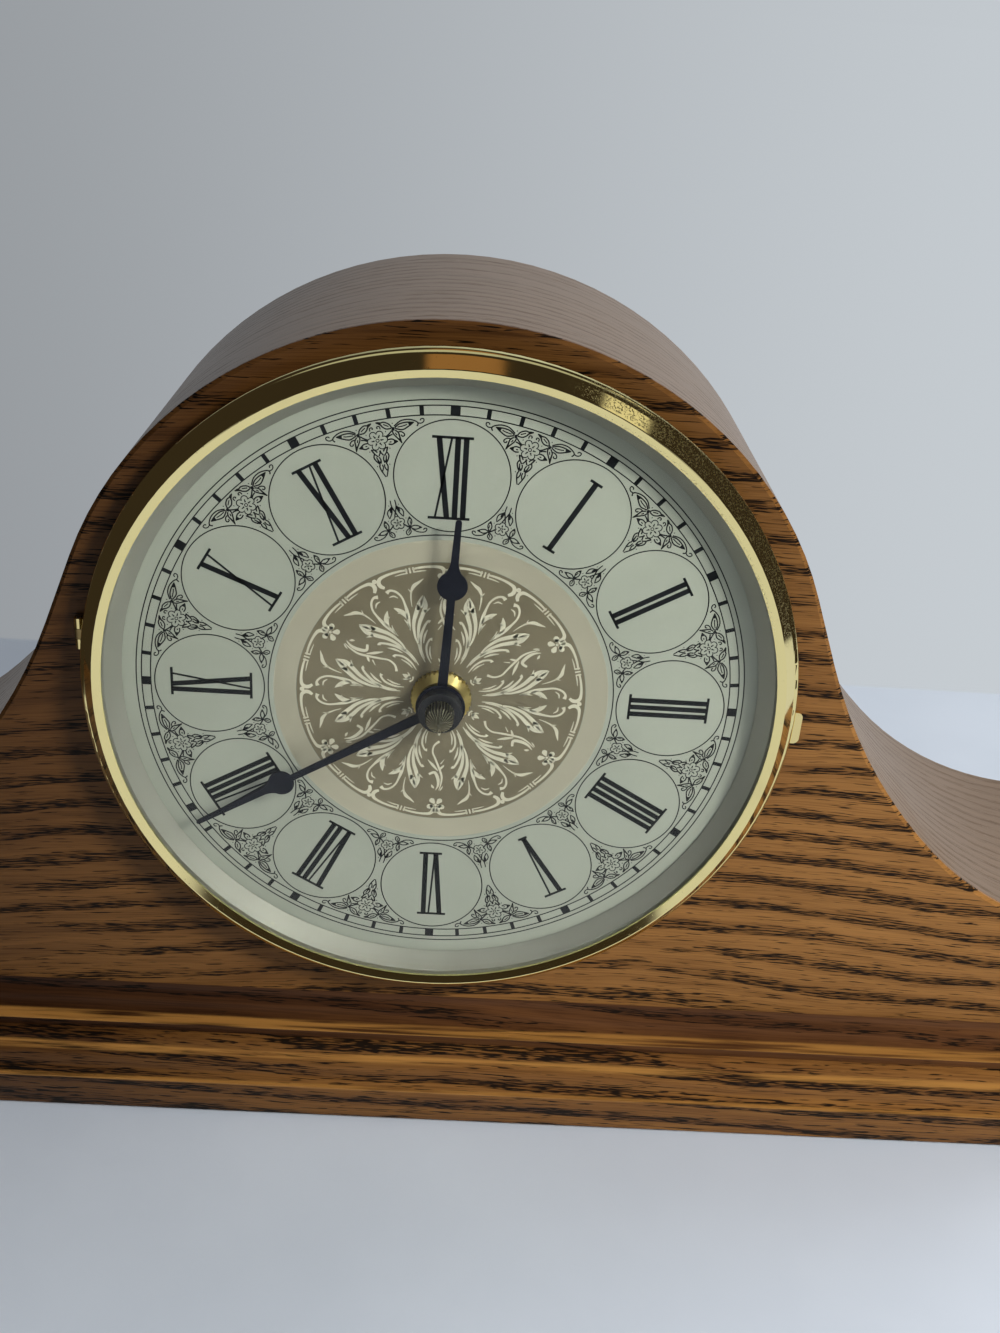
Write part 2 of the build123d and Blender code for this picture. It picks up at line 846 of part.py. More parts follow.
def toothed_face(teeth, tip, root, tip_half, root_half, phase):
    """Round outline with straight-sided teeth, one of them at the phase angle."""
    pitch = 360 / teeth
    points = []
    for k in range(teeth):
        for radius, share in ((root, -root_half), (tip, -tip_half), (tip, tip_half), (root, root_half)):
            points.append(polar(radius, phase + pitch * (k + share)))
    return make_face(Polyline(*points, close=True))


def spade_hand(hub, bulge_radius, bulge_distance, tip, stem, needle, bore, front, angle):
    """Flat spade hand: hub, round bulge and blunt needle; stem and needle have a width at each end."""
    neck = bulge_distance + needle_rise * bulge_radius
    root, end = stem[0] / 2, stem[1] / 2
    neck_half, tip_half = needle[0] / 2, needle[1] / 2
    shoulder_x, shoulder_y = polar(bulge_radius, shoulder_angle)
    shoulder = (shoulder_x, bulge_distance + shoulder_y)
    flank_x = neck_half + (shoulder_x - neck_half) * flank_share
    stem_face = make_face(Polyline(
        (-root, 0), (root, 0), (end, bulge_distance), (-end, bulge_distance), close=True))
    right = make_face([
        Line((0, bulge_distance), shoulder),
        ThreePointArc(shoulder, (flank_x, bulge_distance + flank_rise * bulge_radius), (neck_half, neck)),
        Line((neck_half, neck), (tip_half, tip - tip_half)),
        Line((tip_half, tip - tip_half), (0, tip - tip_half)),
        Line((0, tip - tip_half), (0, bulge_distance)),
    ])
    upper = right + mirror(right, Plane.YZ) + Pos(0, tip - tip_half) * Circle(tip_half)
    face = Circle(hub) + stem_face + Pos(0, bulge_distance) * Circle(bulge_radius) + upper - Circle(bore)
    return slab(Rot(0, 0, -angle) * face, front, front + hand_thickness)


def hour_hand():
    """Hour hand with the short collar that grips the hour tube."""
    hand = spade_hand(hour_hub, hour_bulge, hour_bulge_distance, hour_length, hour_stem, hour_needle,
                      hour_tube_radius, hour_hand_front, hour_hand_angle)
    collar_radius = hour_tube_radius + hour_collar_wall
    return hand + pipe(collar_radius, hour_tube_radius, hour_hand_front, hour_hand_front + hour_collar_length)


def minute_hand():
    """Minute hand with its larger hub."""
    return spade_hand(minute_hub, minute_bulge, minute_bulge_distance, minute_length, minute_stem,
                      minute_needle, minute_arbor_radius, minute_hand_front, minute_hand_angle)


def hand_cap_nut():
    """Black cap nut: flat flange, fluted barrel and low cone."""
    flange = pipe(cap_flange_radius, arbor_tip_radius, cap_flange_front, minute_hand_front)
    bore_end = arbor_tip - cap_bore_gap
    body = turned([
        (0, bore_end), (0, cap_tip), (cap_tip_radius, cap_tip), (cap_radius, cap_shoulder),
        (cap_radius, cap_flange_front), (arbor_tip_radius, cap_flange_front), (arbor_tip_radius, bore_end)])
    root = cap_radius - flute_depth
    flutes = toothed_face(cap_flutes, cap_radius, root, flute_tip_share, flute_root_share, 0)
    return flange + (body & slab(flutes, cap_tip - overshoot, cap_flange_front))


def mounting_nut():
    """Ridged brass nut with a sloping face."""
    back = -washer_thickness
    body = turned([(bushing_radius, nut_front), (nut_radius - nut_slope, nut_front),
                   (nut_radius, back - nut_edge), (nut_radius, back), (bushing_radius, back)])
    root = nut_radius - nut_ridge_depth
    ridges = toothed_face(nut_ridges, nut_radius, root, ridge_tip_share, ridge_root_share, 0)
    return body & slab(ridges, nut_front - overshoot, back)


def threaded_bushing():
    """Brass bushing of the movement, through the dial plate."""
    flange_front = movement_front + wall
    flange_back = flange_front + bushing_flange
    flange_radius = bushing_radius + bushing_flange_width
    return turned([
        (bushing_bore, bushing_front), (bushing_radius - bushing_chamfer, bushing_front),
        (bushing_radius, bushing_front + bushing_chamfer), (bushing_radius, flange_front),
        (flange_radius, flange_front), (flange_radius, flange_back), (bushing_bore, flange_back)])


# Movement: wheels


def gear(teeth, module, layer, phase, thickness=wheel_thickness):
    """Toothed disc in one layer of the movement, centred on the dial axis."""
    radius = teeth * module / 2
    tip, root = radius + addendum * module, radius - dedendum * module
    face = toothed_face(teeth, tip, root, tip_share, root_share, phase)
    return slab(face, movement_front + layer, movement_front + layer + thickness)


def mated_phase(phase, teeth, mate_teeth, direction):
    """Phase of a wheel that meshes with a given one, in the given direction from it."""
    return direction + 180 - (phase - direction) * teeth / mate_teeth + 180 / mate_teeth


def train_places():
    """Centres of the wheels, from the dial axis outwards along the trains."""
    hops = (
        ("third", "centre", centre_module * (centre_teeth + third_leaves) / 2, third_direction),
        ("seconds", "third", third_module * (third_teeth + seconds_leaves) / 2, seconds_direction),
        ("step", "seconds", seconds_module * (seconds_teeth + step_leaves) / 2, step_direction),
        ("rotor", "step", step_module * (step_teeth + rotor_leaves) / 2, rotor_direction),
        ("minute", "centre", motion_distance, minute_direction),
        ("knob", "minute", minute_module * (minute_teeth + knob_leaves) / 2, knob_direction),
    )
    places = {"centre": (0, 0)}
    for name, start, distance, direction in hops:
        dx, dz = polar(distance, direction)
        places[name] = (places[start][0] + dx, places[start][1] + dz)
    return places


places = train_places()
pivoted_wheels = ("third", "seconds", "step", "rotor")


def placed(name, solid):
    """Moves a wheel drawn on the dial axis to its own centre."""
    x, z = places[name]
    return Pos(x, 0, z) * solid


def arbor():
    """Thin arbor with a pivot at each end, from the front of the movement to the bridge."""
    start = movement_front + wall + arbor_shoulder
    end = movement_front + bridge_front - end_play
    pivots = rod(pivot_radius, start - pivot_length, end + pivot_length)
    return pivots + rod(arbor_radius, start, end)


def crossed_wheel(teeth, module, layer, phase, hub):
    """Wheel with round windows between its hub and its rim."""
    rim = teeth * module / 2 - rim_share * dedendum * module
    window = (rim - hub) / 2 * window_share
    front = movement_front + layer
    wheel = gear(teeth, module, layer, phase)
    for k in range(window_count):
        place = polar((rim + hub) / 2, 360 / window_count * k)
        wheel -= rod(window, front - overshoot, front + wheel_thickness + overshoot, place)
    return wheel


def centre_wheel():
    """Large wheel that drives the minute arbor through the slipping washer."""
    front = movement_front + centre_layer
    back = front + wheel_thickness + centre_hub_rise
    wheel = crossed_wheel(centre_teeth, centre_module, centre_layer, third_direction, centre_hub_radius)
    wheel += rod(centre_hub_radius, front, back)
    return wheel - rod(minute_arbor_radius + running_fit, 0, back + overshoot)


def train_wheel(name, teeth, module, layer, leaves, leaf_module, leaf_layer, wheel_phase, leaf_phase):
    """Wheel and pinion on one arbor. The pinion reaches a little past the wheel it meshes with."""
    wheel = crossed_wheel(teeth, module, layer, wheel_phase, train_hub_radius)
    start = leaf_layer - pinion_margin
    pinion = gear(leaves, leaf_module, start, leaf_phase, layer - start)
    return placed(name, joined([arbor(), pinion, wheel]))


def third_wheel():
    """Third wheel, between the centre wheel and the seconds wheel."""
    leaf_phase = mated_phase(third_direction, centre_teeth, third_leaves, third_direction)
    return train_wheel("third", third_teeth, third_module, third_layer, third_leaves, centre_module,
                       centre_layer, seconds_direction, leaf_phase)


def seconds_wheel():
    """Wheel that turns once a minute."""
    leaf_phase = mated_phase(seconds_direction, third_teeth, seconds_leaves, seconds_direction)
    return train_wheel("seconds", seconds_teeth, seconds_module, seconds_layer, seconds_leaves, third_module,
                       third_layer, step_direction, leaf_phase)


def step_wheel():
    """Wheel between the rotor and the seconds wheel."""
    leaf_phase = mated_phase(step_direction, seconds_teeth, step_leaves, step_direction)
    return train_wheel("step", step_teeth, step_module, step_layer, step_leaves, seconds_module,
                       seconds_layer, rotor_direction, leaf_phase)


def rotor():
    """Rotor of the motor: magnet disc and pinion on one arbor."""
    phase = mated_phase(rotor_direction, step_teeth, rotor_leaves, rotor_direction)
    magnet = rod(magnet_radius, movement_front + magnet_front, movement_front + magnet_back)
    length = wheel_thickness + 2 * pinion_margin
    pinion = gear(rotor_leaves, step_module, step_layer - pinion_margin, phase, length)
    return placed("rotor", joined([arbor(), magnet, pinion]))


minute_phase = mated_phase(cannon_phase, cannon_leaves, minute_teeth, minute_direction)


def minute_arbor():
    """Long arbor for the minute hand, with the cannon pinion cut on it."""
    shoulder = movement_front + third_layer + wheel_thickness
    bridge_face = movement_front + bridge_front
    body = turned([
        (0, arbor_tip), (arbor_tip_radius, arbor_tip), (arbor_tip_radius, minute_hand_front),
        (minute_arbor_radius, minute_hand_front), (minute_arbor_radius, shoulder),
        (arbor_waist_radius, shoulder), (arbor_waist_radius, bridge_face - end_play),
        (post_radius, bridge_face - end_play),
        (post_radius, bridge_face + bridge_thickness), (0, bridge_face + bridge_thickness)])
    return body + gear(cannon_leaves, minute_module, minute_layer, cannon_phase)


def minute_wheel():
    """Wheel and pinion between the cannon pinion and the hour wheel, on a post of the case."""
    wheel = gear(minute_teeth, minute_module, minute_layer, minute_phase)
    leaf_phase = mated_phase(minute_direction, hour_teeth, minute_leaves, minute_direction)
    pinion = gear(minute_leaves, hour_module, hour_layer - motion_margin, leaf_phase,
                  minute_layer - hour_layer + motion_margin)
    bore = rod(post_radius + pivot_fit, 0, movement_front + movement_depth)
    return placed("minute", wheel + pinion - bore)


def hour_wheel():
    """Hour wheel with the brass tube that carries the hour hand."""
    tube = rod(hour_tube_radius, hour_hand_front, movement_front + hour_layer + wheel_thickness)
    wheel = gear(hour_teeth, hour_module, hour_layer, minute_direction) + tube
    bore_radius = minute_arbor_radius + running_fit
    return wheel - rod(bore_radius, hour_hand_front - overshoot, movement_front + movement_depth)


def clutch_washer():
    """Thin dished washer that lets the hands slip when they are set."""
    back = movement_front + centre_layer - clutch_gap
    section = [(radius, back - rise) for radius, rise in clutch_section]
    inner = [(minute_arbor_radius, back - clutch_back), (minute_arbor_radius, back - clutch_front)]
    return turned(section + inner)


def setting_knob():
    """Knob on the back of the movement, with the pinion that turns the minute wheel."""
    phase = mated_phase(minute_phase, minute_teeth, knob_leaves, knob_direction)
    shoulder = movement_front + wall + arbor_shoulder
    shaft = rod(knob_shaft_radius, shoulder, movement_front + setting_knob_back)
    pivot = rod(post_radius, movement_front + knob_pivot_front, shoulder)
    rib_root = setting_knob_radius - setting_knob_rib_depth
    ribbed = toothed_face(
        setting_knob_ribs, setting_knob_radius, rib_root, flute_tip_share, flute_root_share, 0)
    grip = slab(ribbed, movement_front + setting_knob_front, movement_front + setting_knob_back)
    pinion = gear(knob_leaves, minute_module, minute_layer - motion_margin, phase,
                  wheel_thickness + 2 * motion_margin)
    return placed("knob", joined([shaft, pivot, pinion, grip]))


# Movement: case, plates and electrics


def case_square(front, back):
    """Rounded square block of the movement case."""
    return slab(RectangleRounded(movement_size, movement_size, movement_corner), front, back)


def movement_front_case():
    """Front plate of the movement with its pillars, the minute-wheel post and pivot holes."""
    inner = movement_front + wall
    plate = case_square(movement_front, inner)
    for place in pillars:
        plate += rod(pillar_radius, inner, movement_front + bridge_front, place)
    post_end = movement_front + minute_layer + wheel_thickness + arbor_shoulder
    plate += rod(post_radius, inner, post_end, places["minute"])
    for name in pivoted_wheels:
        hole_end = inner + arbor_shoulder - pivot_length - end_play
        plate -= rod(pivot_radius + pivot_fit, hole_end, inner + overshoot, places[name])
    hole_end = movement_front + knob_pivot_front - end_play
    plate -= rod(post_radius + pivot_fit, hole_end, inner + overshoot, places["knob"])
    return plate - rod(bushing_radius, 0, inner + overshoot)


def gear_bridge():
    """Plate on the pillars that holds the rear pivots."""
    front, back = movement_front + bridge_front, movement_front + bridge_front + bridge_thickness
    corners = [pillars[1], pillars[0], pillars[2], pillars[3]]
    face = offset(make_face(Polyline(*corners, close=True)), amount=bridge_margin)
    bridge = slab(face, front, back)
    for name in pivoted_wheels:
        bridge -= rod(pivot_radius + pivot_fit, front - overshoot, back + overshoot, places[name])
    return bridge - rod(post_radius + pivot_fit, front - overshoot, back + overshoot)


def movement_rear_case():
    """Rear shell of the movement: gear chamber, open battery bay and knob hole."""
    inside = movement_size / 2 - wall
    front, back = movement_front + wall, movement_front + movement_depth
    start = front - overshoot
    shell = case_square(front, back)
    shell -= box((-inside, inside), (start, back - wall), (bay_top + wall, inside))
    shell -= box((-inside, inside), (start, back + overshoot), (-inside, bay_top))
    shell -= rod(knob_shaft_radius + knob_shaft_fit, front, back + overshoot, places["knob"])
    for x in (lead_left, lead_right):
        shell -= box((x - lead_slot_half, x + lead_slot_half), (start, front + lead_slot_depth),
                     (bay_top - overshoot, bay_top + wall + overshoot))
    return shell


def battery_contact(x, reach):
    """Sheet contact at one end of the battery, with a tongue up into the gear chamber."""
    half = contact_thickness / 2
    front = movement_front + wall + contact_gap
    top = bay_top - contact_gap
    plate = box((x - half, x + half), (front, front + contact_depth), (contact_low, top))
    tongue = box((x - half, x + half), (front, front + tongue_depth), (top, reach))
    return plate + tongue


def positive_contact():
    """Contact at the positive end, reaching up beside the circuit board."""
    return battery_contact(lead_right, positive_reach)


def negative_contact():
    """Contact at the other end, with a strip that runs along the bay to the circuit board."""
    front = movement_front + wall + contact_gap
    level = bay_top + wall + strip_gap
    strip = box((lead_left, strip_right), (front, front + strip_depth), (level, level + contact_thickness))
    return battery_contact(lead_left, level + contact_thickness) + strip


def battery():
    """Round cell lying across the bottom of the movement."""
    start = lead_left + contact_thickness / 2
    body = Cylinder(battery_radius, battery_length, rotation=(0, 90, 0))
    nub = Cylinder(battery_nub_radius, battery_nub_length, rotation=(0, 90, 0))
    cell = Pos(start + battery_length / 2, 0, 0) * body
    cell += Pos(start + battery_length + battery_nub_length / 2, 0, 0) * nub
    return Pos(0, movement_front + battery_depth, battery_z) * cell


def circuit_board():
    """Circuit board with the sealed chip on it."""
    front = movement_front + board_front
    back = front + board_thickness
    return box(board_x, (front, back), board_z) + rod(chip_radius, back, back + chip_height, chip_place)


def quartz_crystal():
    """Quartz crystal in its metal can, lying on the circuit board."""
    depth = movement_front + board_front + board_thickness + crystal_radius
    return Pos(crystal_place[0], depth, crystal_place[1]) * Cylinder(crystal_radius, crystal_length)


def coil_part(radius, bore_height, left, right):
    """Round sleeve along the coil, with the slot for the core."""
    body = Pos((left + right) / 2, coil_depth, coil_z) * Cylinder(radius, right - left, rotation=(0, 90, 0))
    return body - coil_core_bar(bore_height)


def coil_core_bar(height):
    """Bar of the coil core, reaching past both ends of the coil."""
    front = movement_front + stator_front + stator_thickness
    return box((core_left, core_right), (front, front + stator_thickness),
               (coil_z - height / 2, coil_z + height / 2))


def coil_bobbin():
    """Bobbin of the coil, with a flange at each end."""
    tube = coil_part(coil_tube, core_height, coil_left, coil_right)
    left = coil_part(coil_flange, core_height, coil_left, coil_left + coil_flange_thickness)
    right = coil_part(coil_flange, core_height, coil_right - coil_flange_thickness, coil_right)
    return tube + left + right


def coil_winding():
    """Copper winding on the bobbin."""
    length = coil_right - coil_left - 2 * coil_flange_thickness
    centre = Pos((coil_left + coil_right) / 2, coil_depth, coil_z)
    outer = centre * Cylinder(coil_winding_radius, length, rotation=(0, 90, 0))
    return outer - centre * Cylinder(coil_tube, length + 2 * overshoot, rotation=(0, 90, 0))


def stator():
    """Flat stator: a ring round the rotor, with an arm up to each end of the coil core."""
    x, z = places["rotor"]
    front = movement_front + stator_front
    top = coil_z + core_height / 2
    low = z - stator_arm / 2
    face = Pos(x, z) * Circle(stator_ring)
    for inner, outer in ((coil_left - coil_clearance, core_left), (coil_right + coil_clearance, core_right)):
        face += rectangle((min(inner, outer), max(inner, outer)), (low, top))
        face += rectangle((min(x, outer), max(x, outer)), (low, low + stator_arm))
    face -= Pos(x, z) * Circle(stator_hole)
    face -= Pos(*places["step"]) * Circle(2 * arbor_radius + stator_relief)
    return slab(face, front, front + stator_thickness)


# All pieces, by name

case_nodes = {
    "front_board": front_board(),
    "rear_board": rear_board(),
    "top_skin": top_skin(),
    "base_board": base_board(),
    "cove_front": cove_front(),
    "cove_left": cove_end(-1),
    "cove_right": cove_end(1),
    "glue_blocks": group(glue_block(x, y) for x, y in block_places()),
    "base_screws": base_screws(),
    "felt_pads": felt_pads(),
    "rear_door": rear_door(),
    "rear_hinge_case_leaves": rear_leaves(1),
    "rear_hinge_door_leaves": rear_leaves(-1),
    "rear_hinge_pins": rear_pins(),
    "rear_hinge_case_screws": hinge_screws(1),
    "rear_hinge_door_screws": hinge_screws(-1),
    "rear_door_knob": rear_knob(),
    "turn_button": turn_button(),
    "turn_button_screw": turn_button_screw(),
}

dial_nodes = {
    "mounting_ring": mounting_ring(),
    "dial_plate": dial_plate(),
    "dial_screws": dial_screws(),
    "bezel_ring": bezel_ring(),
    "bezel_glass": bezel_glass(),
    "reflector_ring": reflector_ring(),
    "bezel_knuckle": bezel_knuckle(),
    "bezel_hinge_pin": bezel_pin(),
    "bezel_thumb_tab": thumb_tab(),
    "hour_hand": hour_hand(),
    "minute_hand": minute_hand(),
    "hand_cap_nut": hand_cap_nut(),
    "mounting_nut": mounting_nut(),
    "mounting_washer": pipe(washer_radius, bushing_radius, -washer_thickness, 0),
    "rubber_gasket": pipe(gasket_radius, bushing_radius, plate_thickness, movement_front),
    "threaded_bushing": threaded_bushing(),
    "movement_front_case": movement_front_case(),
    "movement_rear_case": movement_rear_case(),
    "gear_bridge": gear_bridge(),
    "minute_arbor": minute_arbor(),
    "clutch_washer": clutch_washer(),
    "centre_wheel": centre_wheel(),
    "third_wheel": third_wheel(),
    "seconds_wheel": seconds_wheel(),
    "step_wheel": step_wheel(),
    "rotor": rotor(),
    "minute_wheel": minute_wheel(),
    "hour_wheel": hour_wheel(),
    "setting_knob": setting_knob(),
    "stator": stator(),
    "coil_core": coil_core_bar(core_height),
    "coil_bobbin": coil_bobbin(),
    "coil_winding": coil_winding(),
    "circuit_board": circuit_board(),
    "quartz_crystal": quartz_crystal(),
    "battery": battery(),
    "positive_contact": positive_contact(),
    "negative_contact": negative_contact(),
}

os.makedirs("parts", exist_ok=True)
for name, solid in case_nodes.items():
    export_step(solid, f"parts/{name}.step")
for name, solid in dial_nodes.items():
    export_step(at_dial(solid), f"parts/{name}.step")
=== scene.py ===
import math

import bpy
from mathutils import Matrix, Vector


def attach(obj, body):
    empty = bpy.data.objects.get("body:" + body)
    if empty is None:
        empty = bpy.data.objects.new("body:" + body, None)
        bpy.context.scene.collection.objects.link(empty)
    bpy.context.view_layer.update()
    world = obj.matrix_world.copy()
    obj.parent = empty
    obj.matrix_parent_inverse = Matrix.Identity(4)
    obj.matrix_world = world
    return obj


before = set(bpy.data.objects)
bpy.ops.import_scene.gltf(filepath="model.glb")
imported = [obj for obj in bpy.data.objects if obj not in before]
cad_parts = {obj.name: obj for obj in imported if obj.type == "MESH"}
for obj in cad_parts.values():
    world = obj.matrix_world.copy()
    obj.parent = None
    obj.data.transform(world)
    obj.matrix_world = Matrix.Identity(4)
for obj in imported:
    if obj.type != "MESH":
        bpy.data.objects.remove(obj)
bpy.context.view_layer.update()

# Metres in a millimetre
MM = 0.001

# Height of the dial's middle above the table, and place of the dial's face, in millimetres
dial_height = 107.6
dial_front = -28.5

# Place of the bezel's crest from the dial's face, in millimetres, where minus is in front
bezel_crest = -6.9

# Rings of the dial print and the ends of the numerals, as radii in millimetres
edge_line = 64.1
track_outer, track_inner = 63.0, 61.1
hour_circle, hour_ring = 48.8, 11.5
inner_line = 36.5
band_outer, band_inner = 35.4, 30.7
rosette_edge = 30.6
disc_inner = 5.0
numeral_top, numeral_foot = 56.7, 40.1

# Widths of the printed lines and marks, in millimetres
thin_line = 0.24
minute_mark, hour_mark = 0.85, 1.9
thinnest_stroke = 0.05

# How far each layer of print stands in front of the dial plate, and how far it is sunk in, in millimetres
field_lift, ink_lift, scroll_lift = 0.02, 0.035, 0.045
sunk = 0.06


# Meshes


def mesh_piece(name, points, faces, material, body):
    """Mesh from points in millimetres in the clock's frame, riding on a body if one is named."""
    mesh = bpy.data.meshes.new(name)
    mesh.from_pydata([Vector(point) * MM for point in points], [], faces)
    mesh.validate()
    mesh.update()
    mesh.materials.append(material)
    piece = bpy.data.objects.new(name, mesh)
    bpy.context.scene.collection.objects.link(piece)
    if body:
        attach(piece, body)
    return piece


class Print:
    """Flat marks on the dial, each one a thin closed slab that stands on the plate."""

    def __init__(self, lift):
        self.lift = lift
        self.points = []
        self.faces = []

    def rail(self, left, right, closed):
        """Slab between two edges, given as equal lists of dial points."""
        start, count = len(self.points), len(left)
        for depth in (-self.lift, sunk):
            for edge in (left, right):
                self.points += [(x, dial_front + depth, dial_height + z) for x, z in edge]
        # Where the rows of points start: front left, front right, back left and back right
        fl, fr, bl, br = 0, count, 2 * count, 3 * count
        for k in range(count if closed else count - 1):
            a, b = start + k, start + (k + 1) % count
            self.faces += [
                (a + fl, b + fl, b + fr, a + fr), (a + bl, a + br, b + br, b + bl),
                (a + fl, a + bl, b + bl, b + fl), (a + fr, b + fr, b + br, a + br),
            ]
        if not closed:
            a, b = start, start + count - 1
            self.faces += [(a + fl, a + fr, a + br, a + bl), (b + fl, b + bl, b + br, b + fr)]

    def ring(self, outer, inner, centre=(0, 0), steps=180):
        """Flat ring round a centre."""
        turns = [2 * math.pi * k / steps for k in range(steps)]
        x, z = centre
        edges = []
        for radius in (outer, inner):
            edges.append([(x + radius * math.sin(t), z + radius * math.cos(t)) for t in turns])
        self.rail(edges[0], edges[1], True)

    def stroke(self, line, widths, closed=False):
        """Brush stroke along a line, with its width at each point."""
        left, right = [], []
        count = len(line)
        for k, (x, z) in enumerate(line):
            before = line[(k - 1) % count] if closed or k else line[0]
            after = line[(k + 1) % count] if closed or k < count - 1 else line[-1]
            dx, dz = after[0] - before[0], after[1] - before[1]
            length = math.hypot(dx, dz) or 1.0
            side = widths[k] / 2 / length
            left.append((x - dz * side, z + dx * side))
            right.append((x + dz * side, z - dx * side))
        self.rail(left, right, closed)

    def build(self, name):
        """All marks of this layer as one piece on the case, in the finish of the same name."""
        piece = mesh_piece(name, self.points, self.faces, finishes[name], "case")


def dial_point(u, v, angle):
    """Dial point from a place across and outward at a clock angle, in degrees."""
    turn = math.radians(angle)
    return u * math.cos(turn) + v * math.sin(turn), -u * math.sin(turn) + v * math.cos(turn)


def brushed(knots, steps=4):
    """Smooth line through knots of (across, outward, width), in some steps from each knot to the next."""
    line = []
    for k in range(len(knots) - 1):
        four = (knots[max(k - 1, 0)], knots[k], knots[k + 1], knots[min(k + 2, len(knots) - 1)])
        for step in range(steps):
            t = step / steps
            line.append(tuple(
                0.5 * (2 * b + (c - a) * t + (2 * a - 5 * b + 4 * c - d) * t ** 2
                       + (3 * b - a - 3 * c + d) * t ** 3)
                for a, b, c, d in zip(*four)))
    return line + [knots[-1]]


def draw(layer, strokes, radius, angle, paired=False, weight=1.0):
    """Draws strokes about a point at a radius and a clock angle, with their mirror image if paired."""
    for knots in strokes:
        line = brushed(knots)
        widths = [max(weight * width, thinnest_stroke) for _, _, width in line]
        for side in ((1, -1) if paired else (1,)):
            layer.stroke([dial_point(side * u, radius + v, angle) for u, v, _ in line], widths)


# Ornament of the dial


# How much heavier than drawn the sprays are printed
spray_weight = 1.45

# Each stroke below has knots of (across, outward, width), in millimetres

# Right half of a large spray, about the heart of its flower
large_spray_half = (
    ((3.13, 1.40, 0.19), (2.47, 0.87, 0.19), (1.80, 0.47, 0.19)),
    ((3.13, 0.67, 0.19), (2.47, 0.53, 0.19), (1.87, 0.20, 0.19)),
    ((3.27, 1.93, 0.19), (2.90, 2.75, 0.19), (2.00, 3.33, 0.19), (1.30, 3.30, 0.19), (0.50, 3.50, 0.19)),
    ((3.13, 1.87, 0.19), (2.20, 1.93, 0.19), (1.53, 2.47, 0.19), (1.27, 2.93, 0.22), (0.50, 3.50, 0.19)),
    ((1.35, 3.12, 0.42), (0.85, 3.38, 0.30), (0.40, 3.52, 0.10)),
    ((2.73, 2.33, 0.15), (1.80, 2.93, 0.15)),
    ((3.87, 1.90, 0.19), (4.93, 2.43, 0.19), (6.27, 2.48, 0.19), (7.60, 2.20, 0.19)),
    ((3.87, 1.73, 0.19), (5.20, 1.20, 0.19), (6.53, 1.63, 0.19), (7.60, 2.20, 0.19)),
    ((6.60, 2.05, 0.36), (7.10, 2.14, 0.30), (7.75, 2.22, 0.10)),
    ((4.40, 1.87, 0.15), (5.60, 1.90, 0.15), (6.30, 2.05, 0.15)),
    ((3.80, 2.20, 0.18), (5.20, 2.96, 0.18), (6.80, 2.96, 0.18), (8.10, 2.35, 0.18), (8.45, 1.80, 0.18),
     (8.10, 1.33, 0.18)),
    ((8.30, 2.00, 0.16), (9.00, 1.75, 0.16), (9.60, 2.00, 0.16), (9.70, 2.50, 0.16), (9.20, 2.60, 0.16),
     (9.00, 2.30, 0.16)),
    ((3.27, 1.40, 0.19), (3.33, 0.73, 0.19), (3.80, -0.07, 0.19), (4.33, -0.87, 0.19), (4.53, -1.33, 0.15)),
    ((3.80, 1.40, 0.19), (4.33, 0.73, 0.19), (4.40, -0.33, 0.22), (4.53, -1.33, 0.15)),
    ((4.22, -0.40, 0.30), (4.40, -0.95, 0.28), (4.55, -1.45, 0.10)),
    ((3.73, 0.87, 0.15), (3.93, 0.33, 0.15)),
    ((4.07, 0.93, 0.17), (4.87, 0.87, 0.17), (5.40, 0.33, 0.17), (5.27, -0.07, 0.17), (4.87, -0.05, 0.17),
     (4.80, 0.27, 0.17)),
    ((1.93, -0.20, 0.19), (2.73, -0.20, 0.19), (3.27, -0.53, 0.19), (3.80, -0.90, 0.15)),
    ((1.93, -1.07, 0.19), (2.60, -1.27, 0.19), (3.27, -1.07, 0.19), (3.80, -0.90, 0.15)),
    ((3.05, -0.78, 0.34), (3.45, -0.85, 0.26), (3.90, -0.92, 0.10)),
    ((2.20, -0.73, 0.15), (2.60, -0.73, 0.15)),
    ((1.00, 2.07, 0.16), (1.00, 2.60, 0.16), (0.60, 2.73, 0.16), (0.40, 2.47, 0.16), (0.60, 2.33, 0.16)),
    ((3.20, 1.80, 0.50), (3.75, 1.60, 0.44)),
    ((-0.10, -2.00, 0.19), (0.05, -2.40, 0.19), (0.45, -3.10, 0.19)),
    ((0.60, -2.33, 0.19), (1.00, -1.80, 0.19), (1.67, -1.60, 0.15)),
    ((1.67, -1.60, 0.15), (1.40, -2.07, 0.22), (1.13, -2.60, 0.19), (0.60, -3.20, 0.19)),
    ((1.27, -2.60, 0.19), (1.47, -3.27, 0.19), (1.13, -4.07, 0.19), (0.60, -4.73, 0.19)),
    ((0.47, -3.27, 0.19), (0.27, -3.93, 0.19), (0.47, -4.60, 0.30)),
    ((1.00, -3.20, 0.15), (0.80, -3.90, 0.20), (0.62, -4.60, 0.34)),
    ((0.60, -4.73, 0.19), (0.80, -5.27, 0.19), (0.60, -6.20, 0.19), (0.10, -7.45, 0.15)),
    ((0.20, -4.87, 0.17), (0.17, -5.53, 0.17), (0.47, -6.20, 0.17)),
    ((1.85, 1.47, 0.17), (2.01, 1.47, 0.17)), ((3.48, 2.80, 0.17), (3.64, 2.80, 0.17)),
    ((1.92, -1.93, 0.17), (2.08, -1.93, 0.17)), ((1.16, -5.07, 0.17), (1.32, -5.07, 0.17)),
)

